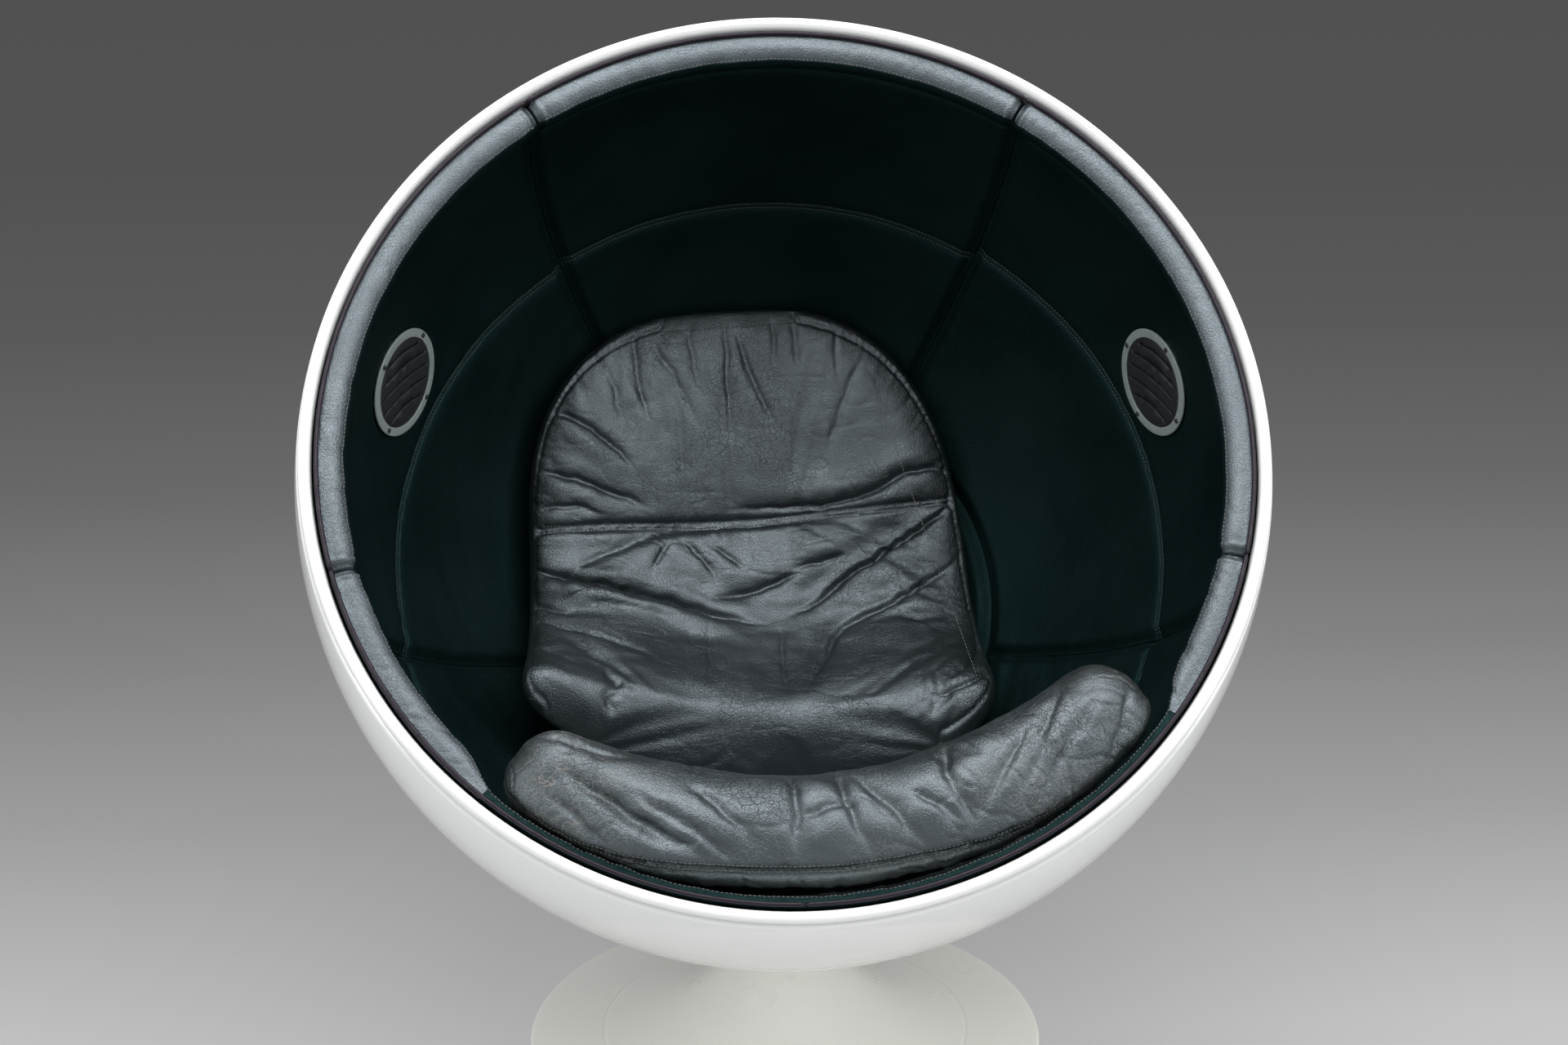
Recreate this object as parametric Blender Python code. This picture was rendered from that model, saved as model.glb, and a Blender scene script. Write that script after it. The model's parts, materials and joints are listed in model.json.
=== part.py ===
"""Ball chair: an open spherical shell, upholstered inside, that swivels on a trumpet foot.

The origin lies on the floor, on the swivel axis. The chair faces -Y. Lengths are in metres.
The ball's own pieces are drawn in the opening frame: its origin is the ball's centre, its
+Z leaves the mouth square to the rim, its +Y runs up the rim and its +X to the right.
Polar places in that frame are theta, the angle from +Z, and phi, the angle from +X to +Y.
"""

import math

import bmesh
import bpy
from mathutils import Euler, Vector

# Ball shell
BALL_RADIUS = 0.525
BALL_LIFT = 0.150
SHELL_WALL = 0.006
LIP_RADIUS = 0.0075
LIP_PLANE = 0.141
OPENING_TILT = math.radians(35.5)

# Lining and rim upholstery
LINING_DEPTH = 0.032
LINING_DROP = 0.009
LINING_EDGE = math.radians(2.2)
PANEL_END = math.radians(145.0)
SEAM_TOP_RIGHT = math.radians(55.5)
SEAM_TOP_LEFT = math.radians(124.5)
SEAM_LOW_LEFT = math.radians(196.5)
SEAM_LOW_RIGHT = math.radians(343.5)
PANEL_JOIN = 0.0008
ROLL_DEPTH = 0.059
ROLL_WIDTH = 0.041
ROLL_SQUEEZE = 0.0295
ROLL_END_GAP = 0.0018
ROLL_END_DRAW = 0.22
WELT_RADIUS = 0.0024
WELT_END_DRAW = 0.3

# Back cushion
CUSHION_WIDTH = 0.572
CUSHION_SHIFT = -0.018
CUSHION_LEAN = -0.030
CUSHION_TAPER = 0.06
CUSHION_TOP = math.radians(14.8)
CUSHION_FOOT = math.radians(-74.5)
CUSHION_CROWN = 0.090
CUSHION_BACK = 0.0225
CUSHION_REST = 0.0012
CUSHION_OVER_SEAT = 0.010
RIDGE_PLACE = math.radians(-21.7)
RIDGE_TILT = math.radians(3.3)
RIDGE_DEPTH = 0.008
FOLD_PLACE = math.radians(-43.0)
FOLD_LEFT_RISE = math.radians(7.0)
FOLD_RIGHT_RISE = math.radians(19.5)
FOLD_DEPTH = 0.012
FOLD_MIDDLE = 0.10

# Seat
FRONT_ROLL_HEIGHT = 0.065
FRONT_ROLL_THICK = 0.072
FRONT_ROLL_THIN = 0.0105
FRONT_ROLL_REST = 0.0037
FRONT_ROLL_HALF = math.radians(39.3)
FRONT_ROLL_TURN = math.radians(5.8)
FRONT_ROLL_INSET = 0.0505
FRONT_ROLL_CAP = 0.056
SEAT_MIDDLE_Y = -0.010
SEAT_WIDTH = 0.560
SEAT_LENGTH = 0.610
SEAT_EDGE = 0.012
SEAT_THICKNESS = 0.046

# Foot and swivel
FOOT_RADIUS = 0.299
FOOT_EDGE_Z = 0.012
FOOT_WALL = 0.004
NECK_RADIUS = 0.047
NECK_WALL = 0.007
FLARE_POWER = 3.0
PAD_THICKNESS = 0.003
BALLAST_THICKNESS = 0.006
WEB_Z = 0.056
WEB_THICKNESS = 0.010
SPINDLE_RADIUS = 0.0125
HUB_RADIUS = 0.060
HUB_THICKNESS = 0.0095
SLEEVE_RADIUS = 0.022
BUSH_WALL = 0.0027
BEARING_THICKNESS = 0.003
SHOULDER_THICKNESS = 0.004
WASHER_THICKNESS = 0.002
WASHER_RADIUS = 0.020
NUT_RADIUS = 0.0175
NUT_THICKNESS = 0.010
PLATE_RADIUS = 0.075
PLATE_RIM = 0.003
BOLT_CIRCLE = 0.046
BOLT_RADIUS = 0.004
BOLT_HEAD_RADIUS = 0.0075
BOLT_HEAD_HEIGHT = 0.005
BOLT_COUNT = 4

# Speakers
SPEAKER_PLACES = {"left": (math.radians(103.3), math.radians(157.6)),
                  "right": (math.radians(101.2), math.radians(19.6))}
SPEAKER_RADIUS = 0.065
SPEAKER_RING_WIDTH = 0.0105
SPEAKER_RING_THICKNESS = 0.0025
SPEAKER_FLANGE = 0.0014
SPEAKER_ROOM = 0.0027
SPEAKER_MAGNET_RADIUS = 0.030
SPEAKER_MAGNET_DEPTH = 0.009
SPEAKER_SCREWS = 4
SCREW_TURN = math.radians(12.0)
SCREW_RADIUS = 0.0016
SCREW_HEAD_RADIUS = 0.0029
SCREW_LENGTH = 0.011
SLOT_COUNT = 5
SLOT_PITCH = 0.0175
SLOT_WIDTH = 0.0018
SLOT_BOW = 0.005
SLOT_TURN = math.radians(32.0)

# Fits and facets
GAP = 0.0003
HOLE_EASE = 0.0003
ROUND_STEPS = 32
BALL_STEPS = 42
ARC_STEP = math.radians(9.0)
PANEL_STEP = math.radians(8.0)
SPEAKER_STEPS = 20
HUB_STEPS = 20
SMALL_STEPS = 12


def facet_sag(radius, step, across):
    """How far the middle of a facet lies inside its sphere, by the steps along and across it."""
    return radius * (2 - math.cos(step / 2) - math.cos(across / 2))


BALL_CENTRE_Z = BALL_LIFT + BALL_RADIUS
INNER_RADIUS = BALL_RADIUS - SHELL_WALL
LINING_RADIUS = INNER_RADIUS - LINING_DEPTH
PANEL_BACK = INNER_RADIUS - facet_sag(INNER_RADIUS, ARC_STEP, math.tau / BALL_STEPS) - GAP
LIP_CENTRE = BALL_RADIUS - LIP_RADIUS
LIP_RHO = math.sqrt(LIP_CENTRE ** 2 - LIP_PLANE ** 2)
LIP_INSIDE = LIP_RHO - LIP_RADIUS - 0.0014
RIM_FRONT = LIP_PLANE - 0.0025
PANEL_START = math.acos((RIM_FRONT - ROLL_DEPTH) / LINING_RADIUS)
CUSHION_BOWL = LINING_RADIUS - facet_sag(LINING_RADIUS, ARC_STEP, PANEL_STEP) - GAP
CUSHION_FORWARD = SEAT_THICKNESS + CUSHION_OVER_SEAT
FRONT_ROLL_ARC = LIP_INSIDE - ROLL_WIDTH + ROLL_SQUEEZE - FRONT_ROLL_HEIGHT - FRONT_ROLL_REST
FRONT_ROLL_OUT = RIM_FRONT - FRONT_ROLL_INSET
PLATE_SEAT = FOOT_RADIUS - 0.012
BALLAST_TOP = PAD_THICKNESS + GAP + BALLAST_THICKNESS
SPINDLE_HOLE = SPINDLE_RADIUS + GAP
WEB_TOP = WEB_Z + WEB_THICKNESS
SHOULDER_Z = WEB_TOP + GAP
BEARING_Z = SHOULDER_Z + SHOULDER_THICKNESS + GAP
SLEEVE_Z = BEARING_Z + BEARING_THICKNESS + GAP
HUB_SEAT = BALL_LIFT - 0.0037
NECK_TOP = BALL_LIFT - HUB_THICKNESS - 0.002
HUB_HOLE = WASHER_RADIUS + 0.006
BUSH_RADIUS = SPINDLE_HOLE + BUSH_WALL
TOP_WASHER_Z = HUB_SEAT + GAP
TOP_NUT_Z = TOP_WASHER_Z + WASHER_THICKNESS + GAP
PLATE_EDGE_Z = BALL_CENTRE_Z - math.sqrt(PANEL_BACK ** 2 - PLATE_RADIUS ** 2)
PLATE_TOP = PLATE_EDGE_Z + PLATE_RIM
SPEAKER_WELL = SPEAKER_RADIUS - SPEAKER_RING_WIDTH
SCREW_CIRCLE = SPEAKER_RADIUS - SPEAKER_RING_WIDTH / 2
SPEAKER_SEAT = math.sqrt(LINING_RADIUS ** 2 - SPEAKER_RADIUS ** 2) + 0.0010
SPEAKER_DEPTH = PANEL_BACK - SPEAKER_SEAT - SPEAKER_MAGNET_DEPTH - GAP - SPEAKER_ROOM


def clear_scene():
    for old in list(bpy.data.objects):
        bpy.data.objects.remove(old, do_unlink=True)


def material(name, colour, roughness, metallic=0.0):
    made = bpy.data.materials.new(name)
    made.use_nodes = True
    shader = made.node_tree.nodes["Principled BSDF"]
    shader.inputs["Base Color"].default_value = (*colour, 1.0)
    shader.inputs["Roughness"].default_value = roughness
    shader.inputs["Metallic"].default_value = metallic
    made.diffuse_color = (*colour, 1.0)
    return made


def empty(name, parent=None, location=(0, 0, 0), rotation=(0, 0, 0)):
    made = bpy.data.objects.new(name, None)
    bpy.context.collection.objects.link(made)
    made.parent = parent
    made.location = location
    made.rotation_euler = rotation
    return made


def add_object(name, mesh, finish, parent, location=(0, 0, 0)):
    """Turn a bmesh into a named object, with its faces pointing out and smooth."""
    bmesh.ops.recalc_face_normals(mesh, faces=mesh.faces[:])
    data = bpy.data.meshes.new(name)
    mesh.to_mesh(data)
    mesh.free()
    made = bpy.data.objects.new(name, data)
    bpy.context.collection.objects.link(made)
    made.parent = parent
    made.location = location
    if finish:
        data.materials.append(finish)
    data.shade_smooth()
    data.set_sharp_from_angle(angle=math.radians(35))
    return made


def as_cutter(made):
    made.hide_render = True
    made.display_type = "WIRE"
    return made


def cut(target, cutter):
    step = target.modifiers.new("cut_" + cutter.name, "BOOLEAN")
    step.operation = "DIFFERENCE"
    step.solver = "EXACT"
    step.object = cutter


def smooth_step(value):
    value = min(max(value, 0.0), 1.0)
    return value * value * (3 - 2 * value)


def spread(low, high, count):
    """Values from low to high in equal steps, both ends included."""
    return [low + (high - low) * i / count for i in range(count + 1)]


def arc_points(radius, start, end, step=ARC_STEP):
    """Points (rho, height) on an arc about the origin, by angles from the +Z axis."""
    count = max(1, math.ceil(abs(end - start) / step - 1e-6))
    return [(radius * math.sin(a), radius * math.cos(a)) for a in spread(start, end, count)]


def rounded(corners, radii, steps):
    """A closed outline whose corners are replaced by arcs tangent to both sides."""
    points = []
    for i, corner in enumerate(corners):
        if radii[i] <= 0:
            points.append(corner)
            continue
        here = Vector(corner)
        before = (Vector(corners[i - 1]) - here).normalized()
        after = (Vector(corners[(i + 1) % len(corners)]) - here).normalized()
        half = before.angle(after) / 2
        middle = here + (before + after).normalized() * radii[i] / math.sin(half)
        start = here + before * radii[i] / math.tan(half) - middle
        end = here + after * radii[i] / math.tan(half) - middle
        sweep = math.atan2(start.x * end.y - start.y * end.x, start.dot(end))
        for j in range(steps[i] + 1):
            turn = sweep * j / steps[i]
            points.append((middle.x + start.x * math.cos(turn) - start.y * math.sin(turn),
                           middle.y + start.x * math.sin(turn) + start.y * math.cos(turn)))
    return points


def turned(profile, steps=ROUND_STEPS, closed=True):
    """Spin a profile of (radius, height) points a full turn about Z."""
    mesh = bmesh.new()
    points = [mesh.verts.new((r, 0, z)) for r, z in profile]
    edges = [mesh.edges.new(pair) for pair in zip(points, points[1:])]
    if closed:
        edges.append(mesh.edges.new((points[-1], points[0])))
    bmesh.ops.spin(mesh, geom=points + edges, axis=(0, 0, 1), cent=(0, 0, 0),
                   angle=math.tau, steps=steps)
    bmesh.ops.remove_doubles(mesh, verts=mesh.verts[:], dist=1e-6)
    bmesh.ops.dissolve_degenerate(mesh, edges=mesh.edges[:], dist=1e-7)
    return mesh


def cylinder(radius, low, high, steps=SMALL_STEPS, place=(0, 0)):
    """A plain round bar along Z, for cutters and for joining into larger shapes."""
    mesh = bmesh.new()
    bmesh.ops.create_cone(mesh, cap_ends=True, segments=steps, radius1=radius, radius2=radius,
                          depth=high - low)
    bmesh.ops.translate(mesh, verts=mesh.verts[:], vec=(*place, (low + high) / 2))
    return mesh


def joined(meshes):
    """Several separate bodies in one mesh, for a cutter with many holes."""
    whole = bmesh.new()
    for mesh in meshes:
        data = bpy.data.meshes.new("piece")
        mesh.to_mesh(data)
        mesh.free()
        whole.from_mesh(data)
        bpy.data.meshes.remove(data)
    return whole


def ring_of_bars(radius, count, turn, bar_radius, low, high, steps):
    bars = []
    for i in range(count):
        angle = turn + math.tau * i / count
        place = (radius * math.cos(angle), radius * math.sin(angle))
        bars.append(cylinder(bar_radius, low, high, steps, place))
    return joined(bars)


def lofted(rings):
    """A solid skinned over rings of equal point count, its ends closed flat."""
    mesh = bmesh.new()
    rows = [[mesh.verts.new(point) for point in ring] for ring in rings]
    count = len(rows[0])
    for low, high in zip(rows, rows[1:]):
        for i in range(count):
            j = (i + 1) % count
            mesh.faces.new((low[i], low[j], high[j], high[i]))
    mesh.faces.new(rows[0])
    mesh.faces.new(rows[-1])
    return mesh


def polar(theta, phi, radius):
    side = math.sin(theta)
    return Vector((radius * side * math.cos(phi), radius * side * math.sin(phi),
                   radius * math.cos(theta)))


# Ball shell
def shell_profile():
    """Outer skin from the pole to the lip, round the lip bead and back along the inner skin."""
    lip_angle = math.atan2(LIP_RHO, LIP_PLANE)
    points = arc_points(BALL_RADIUS, math.pi, lip_angle + math.radians(0.8))
    for i in range(1, 5):
        turn = lip_angle + math.pi * (0.5 - i / 5)
        points.append((LIP_RHO + LIP_RADIUS * math.sin(turn), LIP_PLANE + LIP_RADIUS * math.cos(turn)))
    bead_radius = BALL_RADIUS - 2 * LIP_RADIUS
    points += arc_points(bead_radius, lip_angle + math.radians(0.5), lip_angle + math.radians(3.5))
    points += arc_points(INNER_RADIUS, lip_angle + math.radians(6.0), math.pi)
    return points


def make_shell(finish, opening, swivel):
    shell = add_object("ball_shell", turned(shell_profile(), BALL_STEPS, closed=False), finish, opening)
    low = BALL_LIFT - 0.01
    high = BALL_LIFT + SHELL_WALL + 0.01
    bolts = ring_of_bars(BOLT_CIRCLE, BOLT_COUNT, math.pi / 4, BOLT_RADIUS + HOLE_EASE, low, high, 8)
    middle = cylinder(HUB_HOLE, low, high, HUB_STEPS)
    cut(shell, as_cutter(add_object("shell_holes", joined([bolts, middle]), None, swivel)))


# Lining panels
def edge_drop(distance):
    """How far the leather draws back towards the shell near a panel's edge."""
    return LINING_DROP * (1 - smooth_step(distance / LINING_EDGE)) ** 1.5


def graded(start, end, step):
    """Angles from start to end, with two short steps at each end for the drawn-in edge."""
    inner = [start + LINING_EDGE * 0.35, start + LINING_EDGE]
    outer = [end - LINING_EDGE, end - LINING_EDGE * 0.35]
    count = max(1, round((outer[0] - inner[1]) / step))
    middle = [inner[1] + (outer[0] - inner[1]) * i / count for i in range(1, count)]
    return [start] + inner + middle + outer + [end]


def lining_panel(phi_start, phi_end):
    half_join = PANEL_JOIN / 2 / LINING_RADIUS
    thetas = graded(PANEL_START, PANEL_END - half_join, ARC_STEP)
    phis = graded(phi_start, phi_end, PANEL_STEP)
    mesh = bmesh.new()
    grid = []
    for theta in thetas:
        inset = half_join / math.sin(theta)
        row = []
        for phi in phis:
            near = min(theta - thetas[0], thetas[-1] - theta,
                       (phi - phis[0]) * math.sin(theta), (phis[-1] - phi) * math.sin(theta))
            middle = (phi_start + phi_end) / 2
            share = 1 - 2 * inset / (phi_end - phi_start)
            place = middle + (phi - middle) * share
            row.append(mesh.verts.new(polar(theta, place, LINING_RADIUS + edge_drop(near))))
        grid.append(row)
    for low, high in zip(grid, grid[1:]):
        for i in range(len(phis) - 1):
            mesh.faces.new((low[i], low[i + 1], high[i + 1], high[i]))
    grown = bmesh.ops.extrude_face_region(mesh, geom=mesh.faces[:])
    for item in grown["geom"]:
        if isinstance(item, bmesh.types.BMVert):
            item.co = item.co.normalized() * PANEL_BACK
    return mesh


def back_disc():
    """The round piece at the back of the lining, where the four panels end."""
    edge = PANEL_END + PANEL_JOIN / 2 / LINING_RADIUS
    full = edge + LINING_EDGE
    places = [edge, edge + LINING_EDGE * 0.35] + [full + (math.pi - full) * i / 4 for i in range(5)]
    points = []
    for place in places:
        radius = LINING_RADIUS + edge_drop(place - edge)
        points.append((radius * math.sin(place), radius * math.cos(place)))
    points += arc_points(PANEL_BACK, math.pi, edge, math.radians(12))
    return turned(points, ROUND_STEPS)


def make_lining(leather, opening, swivel, speakers):
    spans = {
        "back_lining_panel": (SEAM_TOP_RIGHT, SEAM_TOP_LEFT),
        "left_lining_panel": (SEAM_TOP_LEFT, SEAM_LOW_LEFT),
        "bottom_lining_panel": (SEAM_LOW_LEFT, SEAM_LOW_RIGHT),
        "right_lining_panel": (SEAM_LOW_RIGHT - math.tau, SEAM_TOP_RIGHT),
    }
    panels = {name: add_object(name, lining_panel(*span), leather, opening)
              for name, span in spans.items()}
    add_object("back_lining_disc", back_disc(), leather, opening)
    pocket = cylinder(PLATE_RADIUS + 0.006, 0, PLATE_TOP + BOLT_HEAD_HEIGHT + 0.004, 20)
    cut(panels["bottom_lining_panel"], as_cutter(add_object("plate_pocket", pocket, None, swivel)))
    for side, axis in speakers.items():
        seat = cylinder(SPEAKER_RADIUS + GAP, -GAP, LINING_DEPTH, SPEAKER_STEPS)
        well = cylinder(SPEAKER_WELL, -2 * LINING_DEPTH, 0.001, SPEAKER_STEPS)
        holes = ring_of_bars(SCREW_CIRCLE, SPEAKER_SCREWS, SCREW_TURN, SCREW_RADIUS + HOLE_EASE,
                             -SCREW_LENGTH - 0.001, 0.001, 6)
        for name, mesh in (("seat", seat), ("well", well), ("screw_holes", holes)):
            cutter = as_cutter(add_object(f"{side}_speaker_{name}", mesh, None, axis))
            cut(panels[f"{side}_lining_panel"], cutter)


# Padded rim
def squeeze(phi):
    """1 where the seat's front roll presses the rim flat, 0 where the rim stands full."""
    away = abs(phi - (1.5 * math.pi + FRONT_ROLL_TURN))
    return 1 - smooth_step((away - math.radians(44)) / math.radians(9))


def rim_section(phi):
    """The rim roll's section as (rho, height) points: lip corner, crest, foot, back."""
    pressed = squeeze(phi)
    crest = LIP_INSIDE - ROLL_WIDTH + ROLL_SQUEEZE * pressed
    foot = polar(PANEL_START - PANEL_JOIN / LINING_RADIUS, 0, LINING_RADIUS - 0.0015 + 0.0015 * pressed)
    back = polar(PANEL_START - PANEL_JOIN / LINING_RADIUS, 0, BALL_RADIUS - 2 * LIP_RADIUS - GAP * 3)
    corners = [(LIP_INSIDE, RIM_FRONT), (crest, RIM_FRONT - 0.004 * pressed), (foot.x, foot.z),
               (back.x, back.z)]
    soft = 0.017 - 0.0125 * pressed
    return rounded(corners, [0.003, soft, 0.003, 0.002], [1, 4, 1, 1])


def swept_rim(section, phi_start, phi_end, end_gap, draw_in):
    """Sweep a section round the rim, with both ends drawn in as a stuffed end is."""
    reach = LIP_INSIDE
    start = phi_start + end_gap / reach
    end = phi_end - end_gap / reach
    ends = [0.0, 0.003 / reach, 0.009 / reach]
    count = max(2, round((end - start) / math.radians(9.0)))
    inner = [start + ends[-1] + (end - start - 2 * ends[-1]) * i / count for i in range(count + 1)]
    places = [start + e for e in ends[:-1]] + inner + [end - e for e in reversed(ends[:-1])]
    rings = []
    for phi in places:
        outline = section(phi)
        nearest = min(phi - start, end - phi)
        grip = draw_in * (1 - smooth_step(nearest / ends[-1]))
        mid_rho = sum(p[0] for p in outline) / len(outline)
        mid_high = sum(p[1] for p in outline) / len(outline)
        ring = []
        for rho, high in outline:
            rho += (mid_rho - rho) * grip
            high += (mid_high - high) * grip
            ring.append((rho * math.cos(phi), rho * math.sin(phi), high))
        rings.append(ring)
    return lofted(rings)


def welt_section(_phi):
    rho = LIP_INSIDE - WELT_RADIUS
    count = 6
    high = RIM_FRONT + GAP + WELT_RADIUS * math.cos(math.pi / count)
    return [(rho + WELT_RADIUS * math.cos(math.tau * i / count),
             high + WELT_RADIUS * math.sin(math.tau * i / count)) for i in range(count)]


def make_rim(leather, piping, opening):
    low = 1.5 * math.pi
    rolls = {
        "top_rim_roll": (SEAM_TOP_RIGHT, SEAM_TOP_LEFT),
        "left_rim_roll": (SEAM_TOP_LEFT, SEAM_LOW_LEFT),
        "bottom_rim_roll": (SEAM_LOW_LEFT, SEAM_LOW_RIGHT),
        "right_rim_roll": (SEAM_LOW_RIGHT - math.tau, SEAM_TOP_RIGHT),
    }
    welts = {
        "top_rim_welt": (SEAM_TOP_RIGHT, SEAM_TOP_LEFT),
        "left_rim_welt": (SEAM_TOP_LEFT, SEAM_LOW_LEFT),
        "bottom_left_rim_welt": (SEAM_LOW_LEFT, low),
        "bottom_right_rim_welt": (low, SEAM_LOW_RIGHT),
        "right_rim_welt": (SEAM_LOW_RIGHT - math.tau, SEAM_TOP_RIGHT),
    }
    for name, span in rolls.items():
        add_object(name, swept_rim(rim_section, *span, ROLL_END_GAP, ROLL_END_DRAW), leather, opening)
    for name, span in welts.items():
        add_object(name, swept_rim(welt_section, *span, PANEL_JOIN / 2, WELT_END_DRAW), piping, opening)


# Back cushion and seat
def cushion_rows(u):
    """Heights of the back cushion's rows at a place across it, from its top edge to its foot."""
    ridge = RIDGE_PLACE + RIDGE_TILT * u
    side = (u - FOLD_MIDDLE) / (1 - FOLD_MIDDLE if u > FOLD_MIDDLE else -1 - FOLD_MIDDLE)
    rise = FOLD_RIGHT_RISE if u > FOLD_MIDDLE else FOLD_LEFT_RISE
    fold = FOLD_PLACE + rise * side ** 0.85
    lip = math.radians(1.6)
    upper = [0, 0.04, 0.13, 0.28, 0.5, 0.74, 1]
    lower = [0, 0.2, 0.42, 0.64, 0.82, 0.93, 0.98, 1]
    rows = [CUSHION_TOP + (ridge + lip - CUSHION_TOP) * share for share in upper] + [ridge]
    rows += [ridge - lip + (fold - ridge + 2 * lip) * share for share in (0, 0.5, 1)] + [fold]
    rows += [fold - lip + (CUSHION_FOOT - fold + lip) * share for share in lower]
    return rows, (len(upper), len(upper) + 4)


def cushion_point(u, beta, side, groove):
    """A point of the back cushion about the ball's centre, with a groove pressed into its front."""
    middle = (CUSHION_TOP + CUSHION_FOOT) / 2
    v = 0.988 * (beta - middle) / (CUSHION_TOP - middle)
    power = 3.1 if v > 0 else 8.0
    wide = (1 - abs(v) ** power) ** (1 / power) * (1 - CUSHION_TAPER * (v + 1) / 2)
    x = CUSHION_SHIFT + CUSHION_LEAN * ((v + 1) / 2) ** 2 + u * CUSHION_WIDTH / 2 * wide
    radius = CUSHION_BOWL - CUSHION_BACK
    radius -= CUSHION_FORWARD * smooth_step((math.radians(-35) - beta) / math.radians(40))
    edge = (1 - abs(u) ** 2.8) * (1 - min(abs(v) / 0.988, 1.0) ** 2.8)
    if side == "front":
        radius -= CUSHION_CROWN * edge ** 0.55 - groove * edge ** 0.3
    else:
        radius += (CUSHION_BACK + CUSHION_REST) * edge ** 0.3
    flat = math.sqrt(radius ** 2 - x ** 2)
    return (x, flat * math.cos(beta), flat * math.sin(beta))


def back_cushion():
    columns = 14
    places = [math.sin(math.pi / 2 * (2 * i / columns - 1)) for i in range(columns + 1)]
    grooves = (RIDGE_DEPTH, FOLD_DEPTH)
    mesh = bmesh.new()
    faces = {}
    for side in ("front", "back"):
        faces[side] = []
        for i, u in enumerate(places):
            rows, pressed = cushion_rows(u)
            column = []
            for j, beta in enumerate(rows):
                edge = i in (0, columns) or j in (0, len(rows) - 1)
                if edge and side == "back":
                    column.append(faces["front"][i][j])
                    continue
                groove = grooves[pressed.index(j)] if j in pressed else 0.0
                column.append(mesh.verts.new(cushion_point(u, beta, side, groove)))
            faces[side].append(column)
        for left, right in zip(faces[side], faces[side][1:]):
            for j in range(len(left) - 1):
                mesh.faces.new((left[j], left[j + 1], right[j + 1], right[j]))
    return mesh


def seat_cushion():
    """A dished pad on the bottom of the bowl: rings from its middle to its edge, above and below."""
    steps = 32
    mesh = bmesh.new()
    rows = []
    layers = [(r, "top") for r in (0.3, 0.55, 0.75, 0.9, 0.97, 1.0)] + [(r, "back") for r in (0.92, 0.7, 0.4)]
    for reach, side in [(0.0, "top")] + layers + [(0.0, "back")]:
        row = []
        for i in range(steps if reach else 1):
            angle = math.tau * i / steps
            x = math.copysign(abs(math.cos(angle)) ** 0.6, math.cos(angle)) * reach * SEAT_WIDTH / 2
            y = math.copysign(abs(math.sin(angle)) ** 0.6, math.sin(angle)) * reach * SEAT_LENGTH / 2
            y += SEAT_MIDDLE_Y
            bottom = Vector((x, y, -math.sqrt(CUSHION_BOWL ** 2 - x ** 2 - y ** 2)))
            if side == "top":
                rise = SEAT_EDGE + (SEAT_THICKNESS - SEAT_EDGE) * (1 - reach ** 3.5) ** 0.7
                bottom *= (CUSHION_BOWL - rise) / CUSHION_BOWL
            row.append(mesh.verts.new(bottom))
        rows.append(row)
    for low, high in zip(rows, rows[1:]):
        for i in range(steps):
            j = (i + 1) % steps
            corners = [low[i % len(low)], low[j % len(low)], high[j % len(high)], high[i % len(high)]]
            mesh.faces.new(list(dict.fromkeys(corners)))
    return mesh


def front_roll_ring(turn, size, bend, lift, sweep, grow):
    """One ring of the seat's front roll: turn places it along the crescent, size draws it in."""
    share = min(abs(turn) / sweep, 1.0)
    high = (FRONT_ROLL_HEIGHT - FRONT_ROLL_THIN * share ** 3) * size + grow
    wide = (FRONT_ROLL_THICK - FRONT_ROLL_THIN * share ** 3) * size + grow
    heading = turn - math.pi / 2
    sides = 18
    ring = []
    for i in range(sides):
        angle = math.tau * i / sides
        rho = bend + high * math.cos(angle)
        point = Vector((rho * math.cos(heading), lift + rho * math.sin(heading), 0))
        point.rotate(Euler((0, 0, FRONT_ROLL_TURN)))
        point.z = FRONT_ROLL_OUT + 0.010 * share ** 2 + wide * math.sin(angle)
        ring.append(point)
    return ring


def front_roll(grow=0.0):
    """The seat's front roll, a crescent with round stuffed ends, in the opening frame."""
    end_rho = FRONT_ROLL_ARC + 0.0145
    end = Vector((end_rho * math.sin(FRONT_ROLL_HALF), end_rho * math.cos(FRONT_ROLL_HALF)))
    lift = (end.length_squared - FRONT_ROLL_ARC ** 2) / (2 * (FRONT_ROLL_ARC - end.y))
    bend = FRONT_ROLL_ARC + lift
    sweep = math.asin(end.x / bend)
    cap = FRONT_ROLL_CAP / bend
    steps = 14
    places = [(-sweep - cap * math.cos(math.radians(a)), math.sin(math.radians(a))) for a in (14, 35, 62)]
    places += [(sweep * (2 * i / steps - 1), 1.0) for i in range(steps + 1)]
    places += [(-turn, size) for turn, size in reversed(places[:3])]
    return lofted([front_roll_ring(turn, size, bend, lift, sweep, grow) for turn, size in places])


def make_cushions(leather, opening, upright):
    add_object("back_cushion", back_cushion(), leather, upright)
    add_object("seat_front_roll", front_roll(), leather, opening)
    seat = add_object("seat_cushion", seat_cushion(), leather, upright)
    cut(seat, as_cutter(add_object("front_roll_room", front_roll(2 * GAP), None, opening)))


# Foot and swivel
def flare(radius):
    """Height of the foot's outer skin at a radius: flat at the edge, steep at the neck."""
    share = (FOOT_RADIUS - radius) / (FOOT_RADIUS - NECK_RADIUS)
    return FOOT_EDGE_Z + 0.003 + (NECK_TOP - 0.012 - FOOT_EDGE_Z) * share ** FLARE_POWER


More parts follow.
